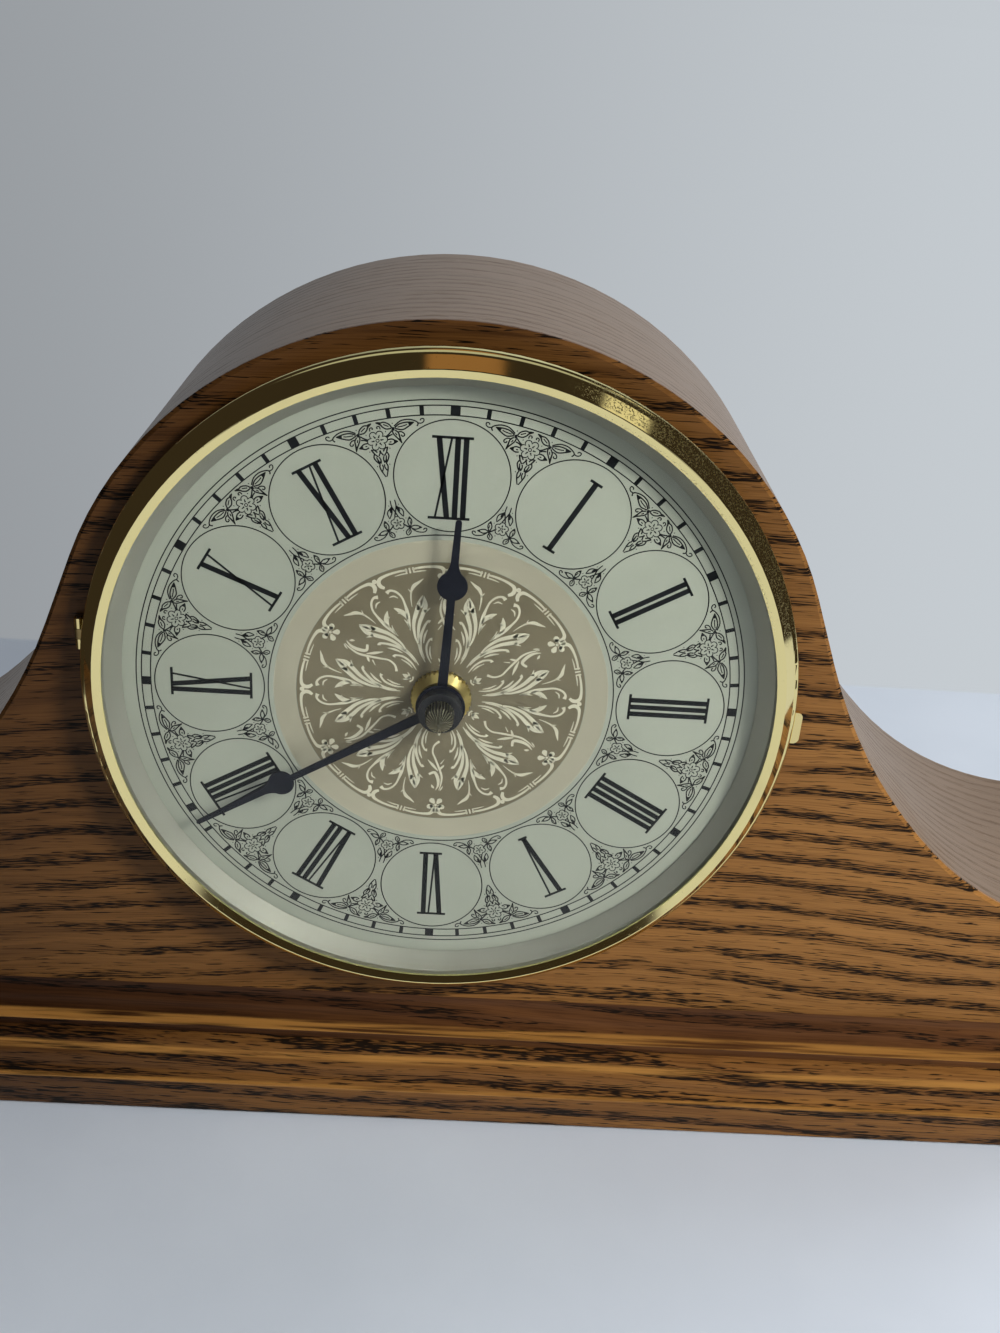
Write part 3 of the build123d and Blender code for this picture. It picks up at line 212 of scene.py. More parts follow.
# Right half of a small spray, about the heart of its flower
small_spray_half = (
    ((1.15, -0.45, 0.18), (1.60, -0.95, 0.20), (2.10, -1.25, 0.30)),
    ((2.13, -1.10, 0.17), (1.93, -0.30, 0.17), (2.20, 0.40, 0.17), (2.50, 0.90, 0.12)),
    ((2.30, -1.10, 0.17), (2.75, -0.30, 0.17), (2.75, 0.30, 0.17), (2.50, 0.90, 0.12)),
    ((2.46, 0.35, 0.26), (2.52, 0.95, 0.10)),
    ((2.30, -1.30, 0.17), (3.00, -1.10, 0.17), (3.70, -1.30, 0.17), (4.45, -1.80, 0.12)),
    ((2.30, -1.45, 0.17), (3.10, -1.95, 0.17), (3.80, -1.90, 0.17), (4.45, -1.80, 0.12)),
    ((3.90, -1.70, 0.26), (4.52, -1.84, 0.10)),
    ((2.00, -1.50, 0.17), (1.30, -2.00, 0.17), (1.20, -2.60, 0.17), (1.45, -2.95, 0.12)),
    ((2.10, -1.60, 0.17), (2.15, -2.30, 0.17), (1.80, -2.70, 0.17), (1.45, -2.95, 0.12)),
    ((1.95, -1.80, 0.13), (1.60, -2.45, 0.13)), ((2.45, -0.60, 0.13), (2.48, 0.10, 0.13)),
    ((2.05, -1.20, 0.36), (2.35, -1.45, 0.36)),
    ((2.50, -1.70, 0.16), (3.35, -2.50, 0.16), (4.60, -2.88, 0.16), (5.25, -2.60, 0.16), (5.30, -2.20, 0.16),
     (4.85, -2.15, 0.16), (4.70, -2.40, 0.16)),
    ((0.50, 3.45, 0.17), (1.35, 2.80, 0.17), (1.60, 2.10, 0.17), (1.40, 1.15, 0.12)),
    ((0.55, 3.30, 0.17), (0.65, 2.40, 0.17), (1.10, 1.60, 0.17), (1.40, 1.15, 0.12)),
    ((0.50, 3.55, 0.22), (0.72, 2.90, 0.42), (0.90, 2.30, 0.16)),
    ((0.45, 4.90, 0.15), (0.45, 3.60, 0.17), (-0.05, 2.20, 0.19), (-0.35, 1.40, 0.17)),
    ((0.92, 3.85, 0.15), (1.05, 3.85, 0.15)), ((1.72, 0.75, 0.15), (1.86, 0.75, 0.15)),
    ((0.70, -1.75, 0.15), (0.84, -1.75, 0.15)),
)

# Right half of the rosette about a crook: crook, its leaf, plume, fronds and outer sprig
crook_half = (
    ((1.40, 16.50, 0.10), (1.90, 17.90, 0.55), (2.70, 20.10, 0.75), (3.20, 22.30, 0.45), (3.36, 24.00, 0.40),
     (2.86, 25.50, 0.45), (1.90, 26.30, 0.50), (1.00, 26.10, 0.85)),
    ((1.05, 25.00, 0.12), (2.00, 24.85, 0.35), (2.60, 24.05, 0.10)),
    ((2.20, 18.90, 0.15), (2.10, 20.30, 0.95), (1.50, 21.50, 0.90), (0.75, 22.50, 0.10)),
    ((0.90, 21.10, 0.08), (1.60, 20.90, 0.40)),
    ((1.45, 16.70, 0.10), (1.65, 18.00, 0.35), (1.45, 19.30, 0.08)),
    ((0.78, 8.70, 0.15), (0.92, 10.95, 0.32), (1.47, 13.00, 0.35)),
    ((1.47, 13.20, 0.30), (1.72, 15.10, 0.45), (2.80, 17.65, 0.70), (4.45, 19.60, 0.90), (6.15, 21.25, 0.95),
     (7.44, 22.40, 0.10)),
    ((1.67, 12.60, 0.30), (2.35, 14.80, 0.50), (3.75, 17.00, 0.70), (5.40, 18.60, 0.85), (6.95, 20.20, 0.80),
     (7.55, 22.20, 0.10)),
    ((5.90, 20.10, 0.30), (6.60, 21.00, 0.85), (7.30, 22.00, 0.20)),
    ((5.10, 19.90, 0.80), (5.40, 20.60, 0.50), (5.35, 21.30, 0.08)),
    ((6.00, 19.00, 0.70), (6.75, 19.05, 0.40), (7.50, 19.20, 0.06)),
    ((1.05, 9.50, 0.15), (1.50, 12.00, 0.40), (2.60, 14.20, 0.60), (4.20, 15.85, 0.50), (5.60, 16.75, 0.45),
     (5.98, 16.45, 0.75)),
    ((2.50, 12.70, 0.12), (3.50, 14.10, 0.45), (4.70, 15.10, 0.12)),
    ((1.75, 7.90, 0.12), (1.90, 9.85, 0.38), (2.70, 11.80, 0.42), (3.95, 12.85, 0.40), (4.55, 12.72, 0.75)),
    ((2.25, 8.70, 0.10), (2.60, 10.10, 0.34), (3.40, 11.50, 0.12)),
    ((4.25, 21.10, 0.10), (4.80, 22.60, 0.25), (5.65, 24.15, 0.40), (6.75, 25.05, 0.75), (7.90, 25.30, 0.55),
     (9.25, 25.60, 0.10)),
    ((5.60, 23.80, 0.35), (5.40, 25.00, 0.08)),
)

# Vine that hangs from each blossom of the rosette, and the bud at its foot
vine = (
    ((-0.50, 23.40, 0.12), (-0.90, 21.80, 0.30), (-1.00, 19.80, 0.42), (-0.30, 17.60, 0.45),
     (0.55, 15.40, 0.40), (1.20, 13.70, 0.36), (0.90, 12.05, 0.40), (-0.15, 11.00, 0.55)),
    ((0.20, 23.40, 0.12), (-0.30, 22.05, 0.50), (-0.20, 20.40, 0.70), (0.55, 18.85, 0.65),
     (1.80, 19.35, 0.50)),
    ((-0.10, 18.40, 0.15), (1.00, 17.05, 0.60), (2.20, 15.70, 0.08)),
    ((-0.55, 17.90, 0.50), (-1.10, 17.30, 0.40), (-1.40, 16.90, 0.08)),
    ((-0.65, 16.60, 0.25), (-1.40, 15.45, 0.08)),
    ((-0.75, 23.50, 0.10), (-1.05, 22.90, 0.30), (-1.35, 22.30, 0.10)),
    ((0.55, 22.90, 0.15), (0.90, 22.50, 0.50), (1.15, 22.00, 0.10)),
    ((0.00, 7.55, 0.20), (0.00, 8.60, 0.95), (0.00, 9.60, 0.10)),
    ((-0.95, 8.95, 0.10), (-0.60, 8.35, 0.40), (0.00, 8.05, 0.45), (0.60, 8.35, 0.40), (0.95, 8.95, 0.10)),
    ((-0.70, 7.45, 0.40), (0.00, 7.15, 0.30), (0.70, 7.45, 0.40)),
)

# Half of a rim scroll from its tie: clock angle in degrees, radius and width
rim_half = (
    ((0.95, 29.60, 0.36), (4.00, 29.72, 0.45), (8.00, 29.75, 0.50), (11.00, 29.65, 0.60),
     (12.80, 29.40, 0.75), (13.80, 28.70, 0.85), (13.60, 27.90, 0.80), (12.50, 27.25, 0.55)),
    ((1.60, 28.92, 0.20), (3.50, 28.97, 0.26), (6.50, 28.95, 0.10)),
)

# Flowers of the sprays: petals, reach of a petal, reach of the notch between two, and turn in degrees
large_flower = (6, 1.97, 1.25, 30)
small_flower = (5, 1.4, 0.95, 0)

# Radii on the dial where the flowers have their hearts
large_flower_radius, small_flower_radius = 57.1, 39.83

# Outline of a flower, the mark in each petal and the ring at its heart, with shares of the petal's reach
outline_steps, outline_width, petal_fullness = 72, 0.2, 0.6
mark_shares, mark_widths = (0.3, 0.62), (0.34, 0.14)
heart_share, heart_line = 0.16, 0.16

# Blossoms at the rosette's rim: petals, their strokes outward from the heart, and the dot at the heart
blossom_radius, blossom_petals = 27.2, 5
blossom_reaches, blossom_widths = (0.45, 1.0, 1.55, 2.0), (0.3, 0.9, 1.25, 0.5)
blossom_dot, bead_dot, dot_hole = 0.3, 0.5, 0.05

# Radius of the bead over each crook, and the short strokes that tie two rim scrolls
bead_radius = 29.4
tie_offsets, tie_foot, tie_top, tie_width = (-0.75, 0.0, 0.75), 28.8, 30.0, 0.34


def draw_flower(layer, radius, angle, petals, reach, notch, turn):
    """Outlined flower with a mark in each petal and a ring at its heart."""
    outline = []
    for k in range(outline_steps):
        bearing = 360 * k / outline_steps
        lobe = abs(math.cos(math.radians(petals * (bearing - turn) / 2))) ** petal_fullness
        u, v = dial_point(0, notch + (reach - notch) * lobe, bearing)
        outline.append(dial_point(u, radius + v, angle))
    layer.stroke(outline, [outline_width] * outline_steps, True)
    for k in range(petals):
        mark = [dial_point(0, share * reach, turn + 360 * k / petals) for share in mark_shares]
        layer.stroke([dial_point(u, radius + v, angle) for u, v in mark], mark_widths)
    heart = heart_share * reach
    layer.ring(heart + heart_line / 2, heart - heart_line / 2, dial_point(0, radius, angle), 12)


def draw_spray(layer, angle):
    """Large spray along the minute track and small spray inside it, between two hour rings."""
    draw_flower(layer, large_flower_radius, angle, *large_flower)
    draw(layer, large_spray_half, large_flower_radius, angle, True, spray_weight)
    draw_flower(layer, small_flower_radius, angle, *small_flower)
    draw(layer, small_spray_half, small_flower_radius, angle, True, spray_weight)


def draw_blossom(layer, angle):
    """Blossom at the rosette's rim, with a dot at its heart."""
    for k in range(blossom_petals):
        petal = [dial_point(0, reach, 360 * k / blossom_petals) for reach in blossom_reaches]
        layer.stroke([dial_point(u, blossom_radius + v, angle) for u, v in petal], blossom_widths)
    layer.ring(blossom_dot, dot_hole, dial_point(0, blossom_radius, angle), 10)


def draw_rim_scroll(layer, tie):
    """Rim scrolls on both sides of a tie, and the strokes of the tie."""
    for knots in rim_half:
        line = brushed(knots)
        widths = [width for _, _, width in line]
        for side in (-1, 1):
            layer.stroke([dial_point(0, radius, tie + side * turn) for turn, radius, _ in line], widths)
    for offset in tie_offsets:
        ends = [dial_point(offset, radius, tie) for radius in (tie_foot, tie_top)]
        layer.stroke(ends, [tie_width, tie_width])


def draw_rosette(layer):
    """Scrolls, plumes, blossoms and vines of the rosette, in six like parts."""
    for at_blossom in range(0, 360, 60):
        at_crook = at_blossom + 30
        draw(layer, crook_half, 0, at_crook, True)
        layer.ring(bead_dot, dot_hole, dial_point(0, bead_radius, at_crook), 12)
        draw(layer, vine, 0, at_blossom)
        draw_blossom(layer, at_blossom)
        draw_rim_scroll(layer, at_blossom - 15)
        draw_rim_scroll(layer, at_blossom + 15)


# Numerals


# Strokes of each letter as (place at the foot, place at the top, width), and half the letter's width
letters = {
    "I": (((0.0, 0.0, 1.12),), 0.82),
    "V": (((0.20, -1.25, 1.12), (0.42, 1.25, 0.42)), 1.62),
    "X": (((0.90, -1.25, 1.12), (-1.45, 1.25, 0.42)), 1.62),
}
serif_reach, serif_width = 1.4, 0.55

# Ends of the bar at the foot of a V that stands alone
lone_v_foot = (-0.75, 1.35)


def numeral(layer, text, angle):
    """Numeral with its tops outward, its strokes joined by one bar at the top and one at the foot."""
    place = -sum(letters[letter][1] for letter in text)
    feet, tops = [], []
    for letter in text:
        strokes, half = letters[letter]
        place += half
        for foot, top, width in strokes:
            ends = ((place + foot, numeral_foot), (place + top, numeral_top))
            layer.stroke([dial_point(u, v, angle) for u, v in ends], [width, width])
            feet.append(place + foot)
            tops.append(place + top)
        place += half
    for spots, level in ((feet, numeral_foot), (tops, numeral_top)):
        bar = (min(spots) - serif_reach, max(spots) + serif_reach)
        if text == "V" and level == numeral_foot:
            bar = lone_v_foot
        layer.stroke([dial_point(u, level, angle) for u in bar], [serif_width, serif_width])


def print_dial():
    """Everything printed on the dial plate, one piece for each colour."""
    ink, band, disc, scrolls = Print(ink_lift), Print(field_lift), Print(field_lift), Print(scroll_lift)
    for radius in (edge_line, track_outer, track_inner, inner_line):
        ink.ring(radius + thin_line / 2, radius - thin_line / 2)
    for minute in range(60):
        width = hour_mark if minute % 5 == 0 else minute_mark
        line = [dial_point(0, radius, 6 * minute) for radius in (track_outer, track_inner)]
        ink.stroke(line, [width, width])
    hours = ("XII", "I", "II", "III", "IIII", "V", "VI", "VII", "VIII", "IX", "X", "XI")
    for hour, text in enumerate(hours):
        centre = dial_point(0, hour_circle, 30 * hour)
        ink.ring(hour_ring + thin_line / 2, hour_ring - thin_line / 2, centre, 72)
        numeral(ink, text, 30 * hour)
        draw_spray(ink, 30 * hour + 15)
    band.ring(band_outer, band_inner)
    disc.ring(rosette_edge, disc_inner)
    draw_rosette(scrolls)
    ink.build("dial_ink")
    band.build("dial_band")
    disc.build("rosette_ground")
    scrolls.build("rosette_scrolls")


# Shader helpers


def fill(tree, value, socket):
    """Links a socket or a node to an input, or sets the input to a value."""
    if isinstance(value, bpy.types.Node):
        value = value.outputs[0]
    if isinstance(value, bpy.types.NodeSocket):
        tree.links.new(value, socket)
    else:
        socket.default_value = value


def feed(tree, node, given):
    """Fills inputs of a node by name or number."""
    for socket, value in given.items():
        fill(tree, value, node.inputs[socket])


def add(tree, kind, given=None, **settings):
    """Adds a shader node, sets its properties and fills its inputs by name or number."""
    made = tree.nodes.new("ShaderNode" + kind)
    for name, value in settings.items():
        setattr(made, name, value)
    feed(tree, made, given or {})
    return made


def maths(tree, operation, *values):
    """Result of a math node."""
    return add(tree, "Math", dict(enumerate(values)), operation=operation).outputs[0]


def times(tree, first, second):
    """Product of two values."""
    return maths(tree, "MULTIPLY", first, second)


def total(tree, *parts):
    """Sum of values, each with its weight."""
    weighed = [times(tree, value, weight) for value, weight in parts]
    result = weighed[0]
    for part in weighed[1:]:
        result = maths(tree, "ADD", result, part)
    return result


def vector_maths(tree, operation, first, second):
    """Result of a vector math node: a number for a dot product, or else a vector."""
    made = add(tree, "VectorMath", {0: first, 1: second}, operation=operation)
    return made.outputs["Value" if operation == "DOT_PRODUCT" else "Vector"]


def split(tree, vector):
    """The three values of a vector."""
    return add(tree, "SeparateXYZ", {0: vector}).outputs


def combine(tree, x, y, z):
    """Vector from three values."""
    return add(tree, "CombineXYZ", {0: x, 1: y, 2: z}).outputs[0]


def rise(tree, value, low, high):
    """Smooth step from 0 at low to 1 at high."""
    given = {"Value": value, "From Min": low, "From Max": high}
    return add(tree, "MapRange", given, interpolation_type="SMOOTHSTEP").outputs[0]


def fall(tree, value, low, high):
    """Smooth step from 1 at low to 0 at high."""
    return maths(tree, "SUBTRACT", 1.0, rise(tree, value, low, high))


def mix(tree, share, first, second, blend="MIX"):
    """Colour mixed from two by a share. The node takes its colours at sockets 6 and 7 and gives one at 2."""
    given = {0: share, 6: first, 7: second}
    return add(tree, "Mix", given, data_type="RGBA", blend_type=blend).outputs[2]


def noise(tree, vector, scale, detail=2.0, roughness=0.5):
    """Value of a noise texture."""
    given = {"Vector": vector, "Scale": scale, "Detail": detail, "Roughness": roughness}
    return add(tree, "TexNoise", given).outputs[0]


# What every shared effect puts out, and the kind of each socket
effect_outputs = {"Color": "Color", "Roughness": "Float", "Height": "Float"}


def effect(name, make, **inputs):
    """Node group for an effect that several finishes share, with a place, colours and numbers as inputs."""
    tree = bpy.data.node_groups.new(name, "ShaderNodeTree")
    tree.interface.new_socket("Place", in_out="INPUT", socket_type="NodeSocketVector")
    for word, value in inputs.items():
        kind = "NodeSocketColor" if isinstance(value, tuple) else "NodeSocketFloat"
        made = tree.interface.new_socket(word.replace("_", " "), in_out="INPUT", socket_type=kind)
        made.default_value = value
    for socket, kind in effect_outputs.items():
        tree.interface.new_socket(socket, in_out="OUTPUT", socket_type="NodeSocket" + kind)
    start, end = tree.nodes.new("NodeGroupInput"), tree.nodes.new("NodeGroupOutput")
    feed(tree, end, make(tree, start.outputs))
    return tree


def apply_effect(tree, group, place, **values):
    """Places a shared effect in a material, with its own values."""
    made = tree.nodes.new("ShaderNodeGroup")
    made.node_tree = group
    feed(tree, made, {"Place": place})
    feed(tree, made, {word.replace("_", " "): value for word, value in values.items()})
    return made.outputs


# Shared effects


def oak_figure(tree, given):
    """Growth rings, bands of long dark pores and soft streaks. X runs along the grain, Y across it."""
    along, across, depth = split(tree, given["Place"])
    deep = given["Depth Scale"]
    # Scales of each noise along the grain, across it and into the wood
    scales = {
        "wander": (7.0, 20.0, 20.0),
        "waves": (30.0, 60.0, 60.0),
        "clusters": (16.0, 130.0, 16.0),
        "dashes": (given["Pore Length"], 2700.0, deep),
        "shreds": (330.0, 5200.0, deep),
        "fibre": (55.0, 3600.0, deep),
        "streaks": (9.0, 430.0, 60.0),
    }

    def stretched(kind, level, detail=1.0):
        """Noise of one kind, stretched along the grain."""
        place = [times(tree, part, scale) for part, scale in zip((along, level, depth), scales[kind])]
        return noise(tree, combine(tree, *place), 1.0, detail)

    # The rings bend in an arch and wander, and the pores bend half as much
    arch = times(tree, times(tree, along, along), given["Arch"])
    wander = maths(tree, "SUBTRACT", stretched("wander", across), 0.5)
    waves = maths(tree, "SUBTRACT", stretched("waves", across), 0.5)
    bends = times(tree, total(tree, (wander, 1.0), (waves, 0.3)), given["Wander"])
    drift = maths(tree, "ADD", arch, bends)
    level = maths(tree, "ADD", across, drift)
    lay = maths(tree, "ADD", across, times(tree, drift, 0.5))

    # Pores are dashes of noise above a level, which is lower in the early wood of each ring
    rings = maths(tree, "FRACT", maths(tree, "DIVIDE", level, given["Ring Width"]))
    early = times(tree, rise(tree, rings, 0.0, 0.08), fall(tree, rings, 0.26, 0.6))
    cluster = rise(tree, stretched("clusters", level), 0.32, 0.5)
    crowded = times(tree, times(tree, early, cluster), 0.22)
    bar_at = maths(tree, "SUBTRACT", given["Pore Start"], crowded)
    dashes = maths(tree, "SUBTRACT", stretched("dashes", lay), bar_at)
    shreds = rise(tree, stretched("shreds", lay, 0.0), 0.26, 0.5)
    pore = times(tree, rise(tree, dashes, 0.0, 0.06), shreds)

    fibre = stretched("fibre", lay, 2.0)
    streak = rise(tree, stretched("streaks", level, 3.0), 0.3, 0.7)
    cloud = rise(tree, noise(tree, given["Place"], 16.0, 2.0), 0.3, 0.7)
    stripe = rise(tree, fibre, 0.4, 0.68)
    shade = total(tree, (streak, 0.3), (cloud, 0.25), (early, 0.25), (stripe, 0.4))
    wood = mix(tree, shade, given["Light"], given["Dark"])
    return {
        "Color": mix(tree, times(tree, pore, given["Pore Depth"]), wood, given["Pore"]),
        "Roughness": maths(tree, "ADD", given["Gloss"], total(tree, (pore, 0.25), (fibre, 0.12))),
        "Height": total(tree, (fibre, 0.25), (pore, -1.0)),
    }


def handled_metal(tree, given):
    """Fine scratches, dull patches and specks on bright metal."""
    place = given["Place"]
    scratch_scales = (900.0, 900.0, 160.0)
    scratch = noise(tree, vector_maths(tree, "MULTIPLY", place, scratch_scales), 1.0, 2.0)
    patch = rise(tree, noise(tree, place, 55.0, 3.0, 0.6), 0.5, 0.75)
    speck = rise(tree, noise(tree, place, 1400.0, 1.0), 0.7, 0.76)
    worn = times(tree, maths(tree, "MAXIMUM", patch, speck), given["Wear"])
    return {
        "Color": mix(tree, worn, given["Bright"], given["Dull"]),
        "Roughness": maths(tree, "ADD", given["Roughness"], times(tree, worn, 0.25)),
        "Height": maths(tree, "ADD", times(tree, scratch, 0.4), speck),
    }


def moulded_grain(tree, given):
    """Soft mottle and a fine pebble, for paint, print, plastic and felt."""
    place = given["Place"]
    mottle = noise(tree, place, given["Mottle Scale"], 3.0, 0.6)
    return {
        "Color": mix(tree, rise(tree, mottle, 0.3, 0.7), given["First"], given["Second"]),
        "Roughness": maths(tree, "ADD", given["Roughness"], times(tree, mottle, 0.12)),
        "Height": noise(tree, place, given["Grain Scale"], 2.0),
    }


def make_effects():
    """The effects that the finishes share: wood, metal and fine grain."""
    return (
        effect("oak_figure", oak_figure, Light=(0.3, 0.12, 0.03, 1), Dark=(0.13, 0.05, 0.015, 1),
               Pore=(0.012, 0.007, 0.004, 1), Ring_Width=0.006, Arch=0.0, Wander=0.009, Pore_Length=120.0,
               Depth_Scale=700.0, Pore_Start=0.63, Pore_Depth=1.0, Gloss=0.34),
        effect("handled_metal", handled_metal, Bright=(0.8, 0.6, 0.25, 1), Dull=(0.4, 0.3, 0.13, 1),
               Wear=0.3, Roughness=0.1),
        effect("moulded_grain", moulded_grain, First=(0.5, 0.5, 0.5, 1), Second=(0.4, 0.4, 0.4, 1),
               Mottle_Scale=60.0, Grain_Scale=900.0, Roughness=0.4),
    )


# Finishes


# Every finish by name, filled as the finishes are made
finishes = {}

# What the darkest painted shade leaves of the oak's colour, and the colour of the painted highlight on
# moulding edges, where the oak is also worn bare
painted_shade_tint = (0.3, 0.27, 0.25, 1)
rubbed_and_lit_oak = (0.37, 0.175, 0.042, 1)


def new_finish(name):
    """Material with its Principled shader alone: gives its tree, the shader and the place on the object."""
    material = bpy.data.materials.new(name)
    material.use_nodes = True
    tree = material.node_tree
    tree.nodes.clear()
    shader = add(tree, "BsdfPrincipled")
    add(tree, "OutputMaterial", {"Surface": shader})
    finishes[name] = material
    return tree, shader, add(tree, "TexCoord").outputs["Object"]


def about_dial(tree, place):
    """Place about the dial's axis: distance behind its face, clock angle in radians, and radius."""
    to_dial = (0.0, -dial_front * MM, -dial_height * MM)
    across, out, up = split(tree, vector_maths(tree, "ADD", place, to_dial))
    clock_angle = maths(tree, "ARCTAN2", across, up)
    radius = add(tree, "VectorMath", {0: combine(tree, across, 0.0, up)}, operation="LENGTH").outputs["Value"]
    return out, clock_angle, radius


def relief(tree, shader, height, strength, depth):
    """Bumps the surface by a height, with the depth of the relief in metres."""
    bump = add(tree, "Bump", {"Height": height, "Strength": strength, "Distance": depth})
    feed(tree, shader, {"Normal": bump})


def surface(tree, shader, outputs, strength, depth):
    """Feeds the colour, roughness and relief of an effect into the shader."""
    feed(tree, shader, {"Base Color": outputs["Color"], "Roughness": outputs["Roughness"]})
    relief(tree, shader, outputs["Height"], strength, depth)


def oak_finish(name, group, axes, coat=0.0, shift=(0.0, 0.0, 0.0), edges=(), painted_shade=None, specular=0.15,
               **figure):
    """Stained oak with its grain along the first of three axes, and its figure moved by a shift.

    Each edge is a height and a reach, in millimetres, where a painted highlight lies on the oak, which is
    also worn bare there. A painted shade is a direction and two distances along it, in metres, from where
    the painted shade starts to where it is darkest.
    """
    tree, shader, place = new_finish(name)
    parts = split(tree, place)
    turned = combine(tree, *(parts["XYZ".index(axis)] for axis in axes))
    outputs = apply_effect(tree, group, vector_maths(tree, "ADD", turned, shift), **figure)
    surface(tree, shader, outputs, 0.35, 0.0003)
    wood = outputs["Color"]
    # Painted shade: the oak is darkened toward one side
    if painted_shade:
        toward, start, end = painted_shade
        lean = vector_maths(tree, "DOT_PRODUCT", place, toward)
        wood = mix(tree, rise(tree, lean, start, end), wood, painted_shade_tint, "MULTIPLY")
    rub_scales = (35.0, 900.0, 900.0)
    drawn = vector_maths(tree, "MULTIPLY", turned, rub_scales)
    rubbed_and_lit = rise(tree, noise(tree, drawn, 1.0, 3.0), 0.3, 0.6)
    # Painted highlight along each moulding edge, partly oak worn bare, broken up by noise
    for height, reach in edges:
        off = maths(tree, "ABSOLUTE", maths(tree, "SUBTRACT", parts[2], height * MM))
        near = fall(tree, off, 0.25 * reach * MM, reach * MM)
        wood = mix(tree, times(tree, near, rubbed_and_lit), wood, rubbed_and_lit_oak)
    feed(tree, shader, {"Base Color": wood, "Specular IOR Level": specular, "Coat Weight": coat,
                        "Coat Roughness": 0.2})


def metal_finish(name, group, bright, dull, roughness, wear, bump=0.05):
    """Bright or satin metal with handling wear."""
    tree, shader, place = new_finish(name)
    outputs = apply_effect(tree, group, place, Bright=(*bright, 1), Dull=(*dull, 1), Wear=wear,
                           Roughness=roughness)
    surface(tree, shader, outputs, bump, 0.0001)
    feed(tree, shader, {"Metallic": 1.0})


def plain_finish(name, group, first, second, roughness, mottle=60.0, pebble=900.0, bump=0.1, metallic=0.0,
                 specular=0.5):
    """Paint, print, plastic, rubber or felt, mottled from a first to a second colour."""
    tree, shader, place = new_finish(name)
    outputs = apply_effect(tree, group, place, First=(*first, 1), Second=(*second, 1), Roughness=roughness,
                           Mottle_Scale=mottle, Grain_Scale=pebble)
    surface(tree, shader, outputs, bump, 0.0002)
    feed(tree, shader, {"Metallic": metallic, "Specular IOR Level": specular})


def bezel_finish(group):
    """Lacquered brass of the bezel, with dust that clings to the upper right of its cone."""
    tree, shader, place = new_finish("bezel_brass")
    outputs = apply_effect(tree, group, place, Bright=(1.0, 0.9, 0.45, 1), Dull=(0.6, 0.5, 0.24, 1),
                           Wear=0.15, Roughness=0.06)
    surface(tree, shader, outputs, 0.03, 0.0001)
    out, clock_angle, _ = about_dial(tree, place)
    # The dust sets in and clears over these clock angles, in radians
    sets_in, clears = (0.2, 0.5), (1.1, 1.4)
    spread = times(tree, rise(tree, clock_angle, *sets_in), fall(tree, clock_angle, *clears))
    # It lies on the cone only, which starts just behind the crest
    cone_start = ((bezel_crest + 0.2) * MM, (bezel_crest + 0.5) * MM)
    cone = rise(tree, out, *cone_start)
    specks = rise(tree, noise(tree, place, 3000.0, 2.0, 0.6), 0.5, 0.62)
    dust = times(tree, specks, times(tree, spread, cone))
    roughness = maths(tree, "ADD", outputs["Roughness"], times(tree, dust, 0.5))
    feed(tree, shader, {"Roughness": roughness, "Metallic": 1.0})


def cap_nut_finish(group):
    """Cap nut with a black flange and a bronze button, ridged from its tip to its rim."""
    tree, shader, place = new_finish("cap_nut")
    outputs = apply_effect(tree, group, place, Bright=(0.62, 0.59, 0.46, 1), Dull=(0.33, 0.31, 0.24, 1),
                           Wear=0.4, Roughness=0.3)
    _, clock_angle, radius = about_dial(tree, place)
    button_edge, ridge_count = (2.95 * MM, 3.05 * MM), 26.0
    button = fall(tree, radius, *button_edge)
    ridges = maths(tree, "SINE", times(tree, clock_angle, ridge_count))
    groove_bronze, flange_black = (0.14, 0.135, 0.115, 1), (0.006, 0.007, 0.01, 1)
    bronze = mix(tree, rise(tree, ridges, -0.6, 0.6), groove_bronze, outputs["Color"])
    colour = mix(tree, button, flange_black, bronze)
    feed(tree, shader, {"Base Color": colour, "Roughness": outputs["Roughness"],
                        "Metallic": times(tree, button, 0.95)})
    relief(tree, shader, times(tree, ridges, button), 1.0, 0.0004)


def glass_finish():
    """Clear glass that lets the light through to the dial."""
    tree, shader, place = new_finish("dial_glass")
    smear = times(tree, rise(tree, noise(tree, place, 40.0, 3.0), 0.55, 0.8), 0.02)
    feed(tree, shader, {"Base Color": (0.97, 0.985, 0.97, 1), "Transmission Weight": 1.0, "IOR": 1.17,
                        "Roughness": smear})
    clear = add(tree, "BsdfTransparent", {"Color": (0.93, 0.95, 0.93, 1)})
    shadow = add(tree, "LightPath").outputs["Is Shadow Ray"]
    mixed = add(tree, "MixShader", {0: shadow, 1: shader, 2: clear})
    feed(tree, tree.nodes["Material Output"], {"Surface": mixed})


def winding_finish(group):
    """Copper wire wound side by side round the bobbin."""
    tree, shader, place = new_finish("copper_winding")
    outputs = apply_effect(tree, group, place, Bright=(0.72, 0.3, 0.12, 1), Dull=(0.4, 0.14, 0.05, 1),
                           Wear=0.4, Roughness=0.3)
    feed(tree, shader, {"Base Color": outputs["Color"], "Roughness": outputs["Roughness"], "Metallic": 1.0})
    turns = add(tree, "TexWave", {"Vector": place, "Scale": 1500.0, "Distortion": 1.0}, bands_direction="X")
    relief(tree, shader, turns.outputs["Fac"], 0.6, 0.0002)


